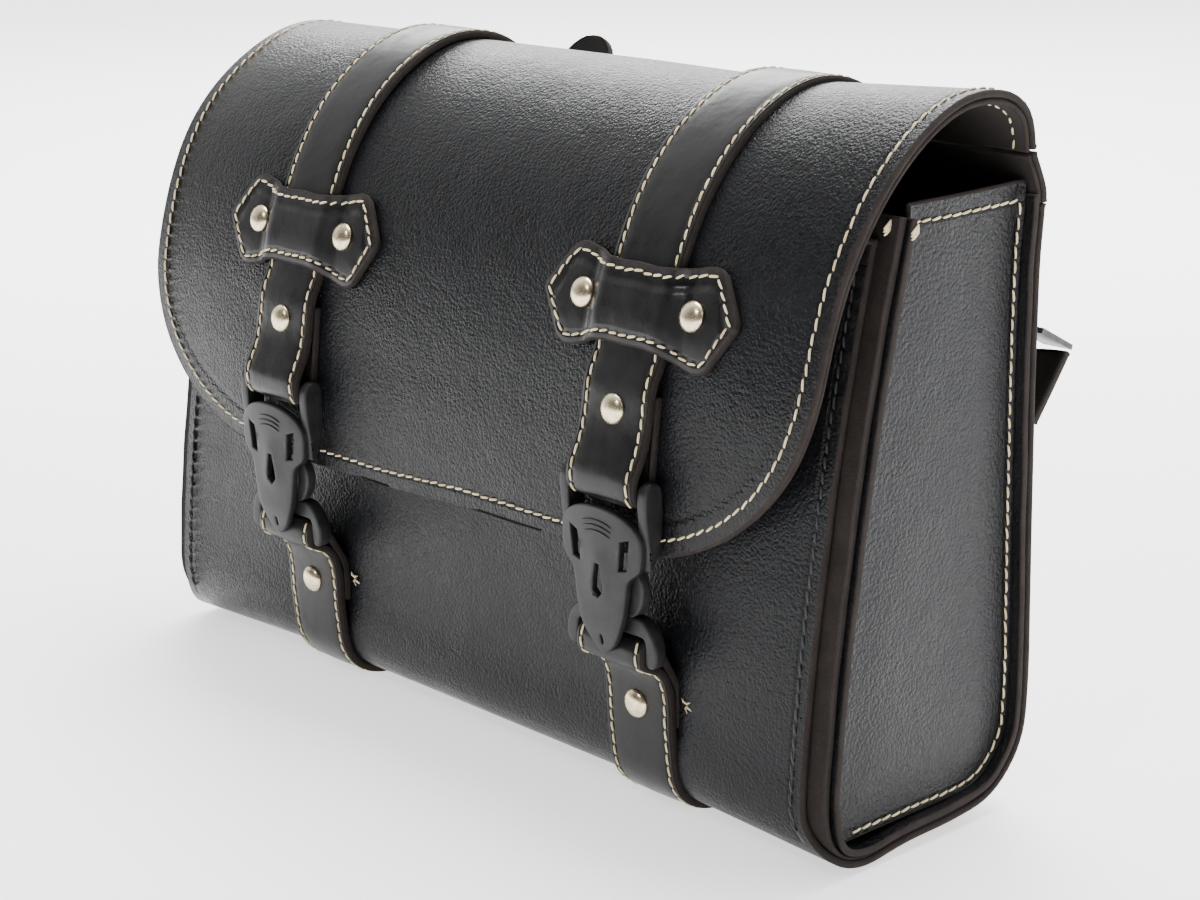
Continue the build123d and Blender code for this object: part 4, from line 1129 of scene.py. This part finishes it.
for side, k in SIDES:
    # first welt strip behind the panel edge
    rim_strip(f"welt_strip_{side}", 158.2, 167.9, lambda s: -2.66, lambda s: -u_mix(4.55, 3.85, s), s_gt, s_gb,
              ["welt", "welt", "welt"], "bag", [f"welt_{side}"], k=k, wob=0.25, seed=5)
    rim_strip(f"welt_strip_front_{side}", 158.4, 167.0, lambda s: -4.68, lambda s: -(4.68 + max(0.45, 2.2 * (1 - float(sst(s_corner - 6, s_corner + 16, s))))),
              s_gt, s_corner + 13, ["strap", "edge", "edge_dark"], "bag", [f"welt_front_{side}"], k=k, wob=0.3, seed=6)
    # the gusset's turned flange
    rim_strip(f"gusset_flange_{side}", 163.0, 169.0, lambda s: -u_mix(7.08, 3.98, s), lambda s: -u_mix(9.4, 6.3, s), s_gt, s_gb,
              ["gusset", "edge", "gusset"], "bag", [], k=k, wob=0.25, seed=7)
    # the recessed side panel
    zs = np.r_[np.linspace(9.5, 40, 16), np.linspace(44, GUSSET_TOP - 8, 32), [GUSSET_TOP - 6.0, GUSSET_TOP - 4, GUSSET_TOP - 2, GUSSET_TOP - 0.9, GUSSET_TOP]]
    inn_f = lambda s: U.at(s, -u_mix(9.2, 6.2, s) + rim_lift(s))
    sF = np.linspace(s_gt, s_corner + 26, 400)
    yf, zf, _, _ = inn_f(sF)
    sB = np.linspace(U_CB - 8, s_gb, 400)
    yb, zb, _, _ = inn_f(sB)
    zmin = float(max(zf.min(), zb.min())) + 0.05
    zs = zs - 9.5
    zs = zmin + zs * (GUSSET_TOP - zmin) / zs[-1]
    zs = np.r_[zmin, zmin + 0.5, zmin + 1.3, zmin + 2.6, zs[2:]]
    of_, ob_ = np.argsort(zf), np.argsort(zb)
    Y0, Y1 = np.interp(zs, zf[of_], yf[of_]), np.interp(zs, zb[ob_], yb[ob_])
    fine_v = np.array([0, 0.007, 0.015, 0.025, 0.038, 0.052, 0.068, 0.085, 0.11, 0.14])
    vv = np.unique(np.round(np.r_[fine_v, np.linspace(0.18, 0.82, 18), 1 - fine_v], 5))
    Yg = Y0[:, None] + (Y1 - Y0)[:, None] * vv[None, :]
    Zg = np.broadcast_to(zs[:, None], Yg.shape)
    dF, dB, dZ = Yg - Y0[:, None], Y1[:, None] - Yg, Zg - zmin
    dT = GUSSET_TOP - Zg
    d = np.minimum(np.minimum(dF, dB), dZ)
    belly = 1.15 * sst(0, 22, d) + 0.35 * wave(Yg, Zg, 9 + k, 30.0) * sst(2, 14, d)
    roll = 1.5 * np.exp(-(d / 1.6) ** 2)        # leather rises into the flange
    Xg = k * (164.2 + belly * 0.8 + roll)
    B = np.stack([Xg, Yg, Zg], 2)
    N = np.stack([k + 0 * Xg, 0 * Xg, 0 * Xg], 2)
    seam = np.where(np.abs(dT - 5.8) < 3.0, np.abs(dT - 5.8), np.minimum(np.abs(dB - 2.0), np.abs(dZ - 2.0)))
    thick(f"gusset_panel_{side}", B, N, 2.1, ["gusset", "edge", "inner"], "bag", seam=seam, edge=dT,
          replaces=[f"gusset_{side}"], r=0.8)

    def gx(y, z):
        i = np.clip(np.interp(z, zs, np.arange(len(zs))), 0, len(zs) - 1)
        a, b_ = np.interp(z, zs, Y0), np.interp(z, zs, Y1)
        dd_ = min(y - a, b_ - y, z - zmin)
        bel = 1.15 * float(sst(0, 22, dd_)) + 0.35 * float(wave(y, z, 9 + k, 30.0)) * float(sst(2, 14, dd_))
        return k * (164.2 + bel * 0.8 + 1.5 * math.exp(-(dd_ / 1.6) ** 2) + 0.18)
    # sewn along bottom and back at the fold, and along the hem
    sq = np.linspace(s_corner + 20, s_gb - 3, 260)
    y, z, _, _ = U.at(sq, -u_mix(9.2, 6.2, sq) - 2.0 + rim_lift(sq))
    z = np.maximum(z, zmin + 2.0)
    pth = [(gx(a, b_) + 0.12 * k, a, b_) for a, b_ in zip(y, z)]
    stitches(f"stitch_gusset_{side}", pth, [(k, 0, 0)] * len(pth), "bag", seed=91 + k, slant=7)
    ya, yb_ = float(np.interp(GUSSET_TOP - 5.8, zs, Y0)) + 2.5, float(np.interp(GUSSET_TOP - 5.8, zs, Y1)) - 2.5
    pth = [(gx(a, GUSSET_TOP - 5.8), a, GUSSET_TOP - 5.8) for a in np.linspace(ya, yb_, 40)]
    stitches(f"stitch_gusset_hem_{side}", pth, [(k, 0, 0)] * len(pth), "bag", seed=95 + k, slant=7)
    # bar tacks across the top of the front edge
    for q, (hh, xq) in enumerate(((-1.2, 164.5), (-8.3, 168.9))):
        yq, zq, _, _ = U.at(s_gt + 3.2, hh)
        p0 = np.array((k * (xq + 0.3), float(yq) - 1.6, float(zq) - 0.6)); p1 = np.array((k * (xq + 0.3), float(yq) + 2.2, float(zq) + 1.4))
        for w in range(3):
            o_ = np.array((0, 0.15 * w, -1.0 * w))
            stitches(f"bartack_{side}_{q}{w}", [p0 + o_, (p0 + p1) / 2 + o_, p1 + o_], [(k, 0, 0)] * 3, "bag", pitch=4.6, length=4.2, seed=99 + w, w=0.5)

# --------------------------------------------------------- plastic buckles
DY, DZ = -5.2, 3.0
Y_F, Y_B = -58.6 + DY, -56.0 + DY
HALF_B = [(0, 98.9), (5, 98.6), (10, 97.4), (14.4, 95.0), (17.0, 92.0), (17.6, 88.5), (17.5, 84.0), (16.6, 80.8), (13.6, 78.4),
          (12.0, 76.4), (11.4, 73.0), (10.8, 69.0), (9.9, 64.5), (8.0, 59.4), (4.8, 54.6), (1.6, 51.8), (0, 51.3)]


def face_bend(cx, a, b_):
    u_ = (a - cx) / 17.6
    zc = b_ - DZ
    crown = 1.25 * (1 - u_ * u_)
    nose = 0.8 * math.exp(-(u_ * 17.6 / 5.0) ** 2) * float(sst(66, 74, zc)) * (1 - float(sst(82, 92, zc)))
    tipd = -1.6 * float(sst(62, 51, zc))
    brow = 0.6 * float(sst(84, 93, zc)) * (1 - u_ * u_)
    return crown + nose + brow + tipd - 0.6


for side, k in SIDES:
    cx = CX[side]
    body = f"buckle_upper_{side}"
    out = [(cx + a, b_ + DZ) for a, b_ in HALF_B] + [(cx - a, b_ + DZ) for a, b_ in HALF_B[-2:0:-1]]
    out = smooth_outline(out, True, 5)
    holes = []
    for j in (-1, 1):
        h_ = [(cx + j * a, b_ + DZ) for a, b_ in ((8.6, 80.0), (12.0, 80.8), (13.2, 90.6), (9.6, 89.4))]
        holes.append(h_[::j])
    holes.append([(cx + a, b_ + DZ) for a, b_ in ((-0.9, 80.6), (0.9, 80.6), (2.1, 75.0), (2.3, 72.0), (0.0, 69.8), (-2.3, 72.0), (-2.1, 75.0))])
    holes.append([(cx + 0.6 * math.cos(t), 55.9 + DZ + 1.7 * math.sin(t)) for t in np.linspace(0, 2 * math.pi, 13)[:-1]])
    plate(f"buckle_face_{side}", out, holes, Y_F, Y_B, 0.55, ["plastic"], body, bend=lambda a, b_, c=cx: face_bend(c, a, b_),
          replaces=[f"buckle_cover_{side}"])
    # grip ridges following the arched top
    for j in range(3):
        zc, w = 94.6 - 1.7 * j, 6.6 - 0.3 * j
        tt_ = np.linspace(-1, 1, 25)
        pts = [(cx + w * t, Y_F - face_bend(cx, cx + w * t, zc + DZ - 1.3 * t * t) - 0.02, zc + DZ - 1.3 * t * t) for t in tt_]
        tube(f"buckle_ridge_{side}_{j}", pts, [0.42 * math.sqrt(max(0.05, 1 - t ** 6)) for t in tt_], ["plastic"], body, 8)
    # side walls with the lugs that hold the strap bar
    for j in (-1, 1):
        yz = [(-60.9, 85.0), (-61.3, 92.0), (-62.2, 99.0), (-62.6, 106.0), (-62.0, 109.6), (-59.6, 111.6), (-56.6, 111.2), (-55.0, 108.4),
              (-54.9, 99.0), (-56.4, 90.0), (-58.8, 84.6)]
        yz = smooth_outline(yz, True, 4)
        xa, xb = sorted((cx + j * 15.45, cx + j * 19.2))
        plate(f"buckle_wall_{side}_{'ab'[j > 0]}", yz, [], xa, xb, 0.7, ["plastic"], body, axis="x")
    tube(f"buckle_bar_top_{side}", [(cx - 16, *BAR_T), (cx, *BAR_T), (cx + 16, *BAR_T)], 1.9, ["plastic"], body, 16)
    # lower half: cross plate with two rounded lobes, guide tongue, bar
    y0, y1 = -54.4 + DY, -49.6 + DY
    lob = [(10.0, 58.6), (14.2, 58.4), (15.3, 56.4), (15.4, 51.6), (16.6, 49.6), (18.8, 49.8), (20.2, 52.4),
           (19.8, 57.0), (17.4, 61.3), (13.6, 64.2), (10.0, 64.6)]
    out = [(cx + a, b_ + DZ) for a, b_ in lob] + [(cx - a, b_ + DZ) for a, b_ in lob[::-1]]
    out = smooth_outline(out, True, 4, hard=(0, len(lob) - 1, len(lob), 2 * len(lob) - 1))
    plate(f"buckle_yoke_{side}", out, [], y0, y1, 0.8, ["plastic"], "bag", replaces=[f"buckle_base_{side}"])
    tube(f"buckle_bar_low_{side}", [(cx - 17.5, *BAR_B), (cx, *BAR_B), (cx + 17.5, *BAR_B)], 1.9, ["plastic"], "bag", 16)
    plate(f"buckle_tongue_{side}", [(cx - 1.6, 64.2 + DZ), (cx + 1.6, 64.2 + DZ), (cx + 1.4, 78.4 + DZ), (cx - 1.4, 78.4 + DZ)], [],
          -54.0 + DY, -51.6 + DY, 0.4, ["plastic"], "bag")
    for j, nm in ((-1, "a"), (1, "b")):
        arm = [(7.2, 64.9), (10.4, 64.7), (13.2, 66.8), (15.0, 70.0), (15.6, 73.4), (15.0, 76.8),
               (13.0, 79.6), (12.0, 81.6), (9.8, 81.6), (9.5, 72.0), (7.4, 67.0)]
        o2 = smooth_outline([(cx + j * a, b_ + DZ) for a, b_ in arm], True, 4)
        plate(f"buckle_side_arm_{side}_{nm}", o2, [], -55.2 + DY, -51.5 + DY, 0.6, ["plastic_arm"], f"arm_{side}_{nm}",
              replaces=[f"buckle_arm_{side}_{nm}"])

# ------------------------------------------------------------ back of the bag
YB = 47.5
BELTS = {"left": ((92.0, 215.0), (51.4, 146.0)), "right": ((95.0, 201.0), (51.8, 148.0))}
for side, k in SIDES:
    cx = CX[side]
    tip, root = BELTS[side]
    by, bz = YB + 0.05 + 2.3 + 3.0, 36.0
    T_B = 3.0
    # outer face (towards +y) from the doubled end, round the buckle bar, up the back and out
    o0 = YB + 0.05 + T_B
    pts = [(o0 + T_B + 0.05, 62.0), (o0 + T_B + 0.1, 55.0), (o0 + T_B + 0.1, 47.5), (by + 2.3 + T_B, bz + 3.0)] \
        + arc_pts(by, bz, 2.3 + T_B, 0, -180, 14)
    ring_p = Prof(pts, 2.4)
    ring_p.n = -ring_p.n
    # that walk runs down and under the bar; its outer face is on the left
    up = [(o0, bz + 1.0), (o0, 80.0), (o0, 132.0)]
    ty, tz = tip[0] - root[0], tip[1] - root[1]
    l_ = math.hypot(ty, tz); ty, tz = ty / l_, tz / l_
    ny, nz = tz, -ty
    up += [(root[0] + ny * T_B - ty * 4, root[1] + nz * T_B - tz * 4), (root[0] + ny * T_B + ty * 18, root[1] + nz * T_B + tz * 18),
           (tip[0] + ny * T_B, tip[1] + nz * T_B)]
    bp = Prof(up, 9.0)
    mats_b = ("belt", "edge", "edge_dark")
    strap(f"belt_strap_{side}", bp, 0.0, bp.L, cx, T_B, "bag", replaces=[f"belt_{side}"], half=13.0, seed=101 + 3 * k,
          mats=mats_b, tip=13.0, sew_range=(22.0, bp.L - 8.0))
    strap(f"belt_fold_{side}", ring_p, 0.0, ring_p.L, cx, T_B - 0.1, "bag", half=13.0, sew=False, mats=mats_b, crown=0.1)
    cen = [(cx, o0 + T_B + 0.25, 55.0), (cx, o0 + 0.4, 88.0)]
    lathe(f"rivet_caps_belt_{side}", cen, [(0, 1, 0)] * 2, DOME, ["rivet"], "bag",
          replaces=["rivets_belt"] if side == "left" else ())
    # eyelet holes near the free end: shallow dishes in the darker cut-edge leather, the cut wall plus painted shade
    # for the hole's depth
    for i in range(4):
        d_ = 20 + 11 * i
        c = np.array((cx, tip[0] - ty * d_, tip[1] - tz * d_))
        nv = np.array((0, ny, nz))
        lathe(f"belt_eye_{side}_{i}", [c + nv * (T_B + 0.36)], [nv], [(2.9, -0.25), (2.75, 0.12), (2.3, 0.26), (1.95, 0.05), (1.9, -0.5), (0.4, -0.55)], ["edge_dark"], "bag", seg=20)

# cross belt, with its right end turned out
T_B = 3.0
xs = np.r_[np.linspace(-146, 100, 60), np.linspace(104, 150, 16)]
rows = []
aa = math.radians(38.0)
for v in np.array([-13, -12.4, -11.4, -10.4, -8, -4, 0, 4, 8, 10.4, 11.4, 12.4, 13.0]):
    r_ = []
    for x in xs:
        t = float(sst(100, 150, x))
        c = np.array((YB + 4.65, 119.0)) * (1 - t) + np.array((76.5, 123.5)) * t
        a = aa * t
        uy, uz = math.sin(a), math.cos(a)
        sag = 0.25 * math.cos(v / 13 * math.pi / 2)
        p = c + np.array((uy, uz)) * v + np.array((uz, -uy)) * (T_B / 2 + sag * 0.5)
        r_.append((x, p[0], p[1]))
    rows.append(r_)
Bc = np.array(rows)
tx = np.gradient(Bc, axis=1); tv = np.gradient(Bc, axis=0)
Nc = np.cross(tx, tv)
if Nc[6, 10, 1] < 0:
    Nc = -Nc
vv = np.array([-13, -12.4, -11.4, -10.4, -8, -4, 0, 4, 8, 10.4, 11.4, 12.4, 13.0])[:, None] + 0 * Bc[:, :, 0]
thick("belt_cross_strap", Bc, Nc, T_B, ["belt", "edge", "edge_dark"], "bag", seam=13 - np.abs(vv) - 2.6, edge=13 - np.abs(vv),
      replaces=["belt_cross"], r=0.7)
for j, i in ((-1, 3), (1, 9)):
    NN = Nc[i] / np.linalg.norm(Nc[i], axis=1)[:, None]
    stitches(f"stitch_cross_{'ab'[j > 0]}", Bc[i][1:-1], NN[1:-1], "bag", seed=121 + j)
for nm, x in (("left", -140.0), ("mid", 4.0), ("right", 62.0)):
    pts = [(YB + 2.0, 96.0), (YB + 2.05, 103.0), (YB + 5.0, 104.3), (YB + 8.1, 106.4), (YB + 8.25, 119.0), (YB + 8.1, 131.8), (YB + 5.0, 134.0),
           (YB + 2.05, 135.2), (YB + 2.0, 142.0)]
    lp_ = Prof(pts, 4.0)
    strap(f"belt_keeper_{nm}", lp_, 0.0, lp_.L, x, 1.9, "bag", replaces=[f"belt_loop_{nm}"], half=7.0, sew=False,
          mats=("belt", "edge", "edge_dark"), crown=0.15)
    for zz_ in (99.5, 138.5):
        P_ = [(x - 5.2, YB + 2.2, zz_), (x, YB + 2.25, zz_), (x + 5.2, YB + 2.2, zz_)]
        stitches(f"stitch_loop_{nm}_{int(zz_)}", P_, [(0, 1, 0)] * 3, "bag", seed=131, pitch=3.4, length=2.7)

# thread knots beside the lower straps
for side, k in SIDES:
    s_k = U.s_at_z(36.8, 0, s_corner + 20)
    y, z, ny, nz = (float(q) for q in U.at(s_k, panel_lift(CX[side] + 18.2, s_k)))
    c = np.array((CX[side] + 18.2, y, z))
    for i, (dx, dz) in enumerate(((1.6, 1.2), (-1.4, 1.7), (0.4, -2.0), (2.3, -1.0))):
        e = c + np.array((dx * 1.2, -1.0, dz * 1.2))
        m_ = c + np.array((dx * 0.5, -1.5, dz * 0.6 + 0.4))
        tube(f"knot_{side}_{i}", [c + np.array((0, -0.3, 0)), m_, e], [0.42, 0.36, 0.28], ["thread"], "bag", 8)

# ------------------------------------------------- carried-over CAD pieces
for nme, ob in NODES.items():
    key = "steel_dark" if nme == "belt_hook" else "steel" if nme.startswith(("belt_buckle", "belt_prong")) else "board" if nme.endswith("board") else None
    if key:
        ob.data.materials.clear()
        ob.data.materials.append(M[key])

# ------------------------------------------------------- stage, light, camera
floor_m, nt, b = new_mat("floor_white")
g = G(nt)
v = g.coords(1000.0)
tint = g.mix(g.noise(v, 0.002, 2.0), (0.90, 0.90, 0.905), (0.94, 0.94, 0.94))
g.link(tint, b.inputs["Base Color"])
b.inputs["Roughness"].default_value = 0.55
b.inputs["Specular IOR Level"].default_value = 0.25
# painted light: the floor glows by emission, weakly near the bag and stronger further off, so the backdrop reads white
b.inputs["Emission Color"].default_value = (1.0, 1.0, 1.0, 1)
far = g.n("ShaderNodeVectorMath", operation="LENGTH")
g.link(g.coords(1.0), far.inputs[0])
g.link(g.rng(far.outputs["Value"], 0.25, 0.9, 1.15, 2.1, True), b.inputs["Emission Strength"])
bm = bmesh.new()
me = bpy.data.meshes.new("floor")
bmesh.ops.create_grid(bm, x_segments=2, y_segments=2, size=6.0)
for v_ in bm.verts:
    v_.co.z = -0.0004
bm.to_mesh(me); bm.free()
me.materials.append(floor_m)
floor = bpy.data.objects.new("floor", me)
bpy.context.scene.collection.objects.link(floor)

world = bpy.data.worlds.new("white_studio")
bpy.context.scene.world = world
world.use_nodes = True
wn = world.node_tree
wn.nodes.clear()
wo = wn.nodes.new("ShaderNodeOutputWorld")
bg = wn.nodes.new("ShaderNodeBackground")
wg = G(wn)
wtc = wg.n("ShaderNodeTexCoord")
sep = wg.n("ShaderNodeSeparateXYZ")
wg.link(wtc.outputs["Generated"], sep.inputs[0])
behind = wg.math("MULTIPLY_ADD", sep.outputs["X"], -0.55, wg.math("MULTIPLY_ADD", sep.outputs["Y"], 0.8, wg.math("MULTIPLY", sep.outputs["Z"], 0.45)))
lum = wg.rng(behind, -0.30, 0.75, 0.14, 1.7, True)
bg.inputs["Color"].default_value = (1.0, 1.0, 1.0, 1)
wg.link(lum, bg.inputs["Strength"])
wn.links.new(bg.outputs[0], wo.inputs[0])


def area(name, loc, target, size, power, color=(1, 1, 1)):
    li = bpy.data.lights.new(name, "AREA")
    li.shape = "RECTANGLE"
    li.size, li.size_y = size
    li.energy = power
    li.color = color
    ob = bpy.data.objects.new(name, li)
    ob.location = loc
    ob.rotation_mode = "QUATERNION"
    ob.rotation_quaternion = (Vector(target) - Vector(loc)).to_track_quat("-Z", "Y")
    bpy.context.scene.collection.objects.link(ob)
    return ob


area("light_top", (-0.10, 0.55, 1.6), (0, 0, 0.1), (1.1, 0.9), 52.0)
area("light_key", (0.35, -1.35, 1.55), (0, 0, 0.1), (0.28, 0.28), 9.0)
area("light_behind", (-1.15, 1.05, 1.0), (0, 0, 0.15), (1.2, 0.8), 30.0)
area("light_right", (1.7, 0.5, 0.9), (0.1, 0, 0.1), (0.8, 0.8), 9.0)

cam_d = bpy.data.cameras.new("camera")
cam_d.sensor_width = 36.0
cam_d.lens = 2639.56 / 1200.0 * 36.0
cam = bpy.data.objects.new("camera", cam_d)
bpy.context.scene.collection.objects.link(cam)
bpy.context.scene.camera = cam
yaw, pitch, roll = (math.radians(v_) for v_ in (47.84, 16.17, -0.93))
fwd = Vector((-math.sin(yaw) * math.cos(pitch), math.cos(yaw) * math.cos(pitch), -math.sin(pitch)))
right = Vector((math.cos(yaw), math.sin(yaw), 0.0))
upv = right.cross(fwd)
c_, s_ = math.cos(roll), math.sin(roll)
r2, u2 = c_ * right + s_ * upv, -s_ * right + c_ * upv
cam.matrix_world = Matrix(((r2.x, u2.x, -fwd.x, 0), (r2.y, u2.y, -fwd.y, 0), (r2.z, u2.z, -fwd.z, 0), (0, 0, 0, 1)))
cam.location = Vector(row((655.24, -575.46, 340.79)))
cam_d.clip_start, cam_d.clip_end = 0.02, 50.0
cam_d.dof.use_dof = False
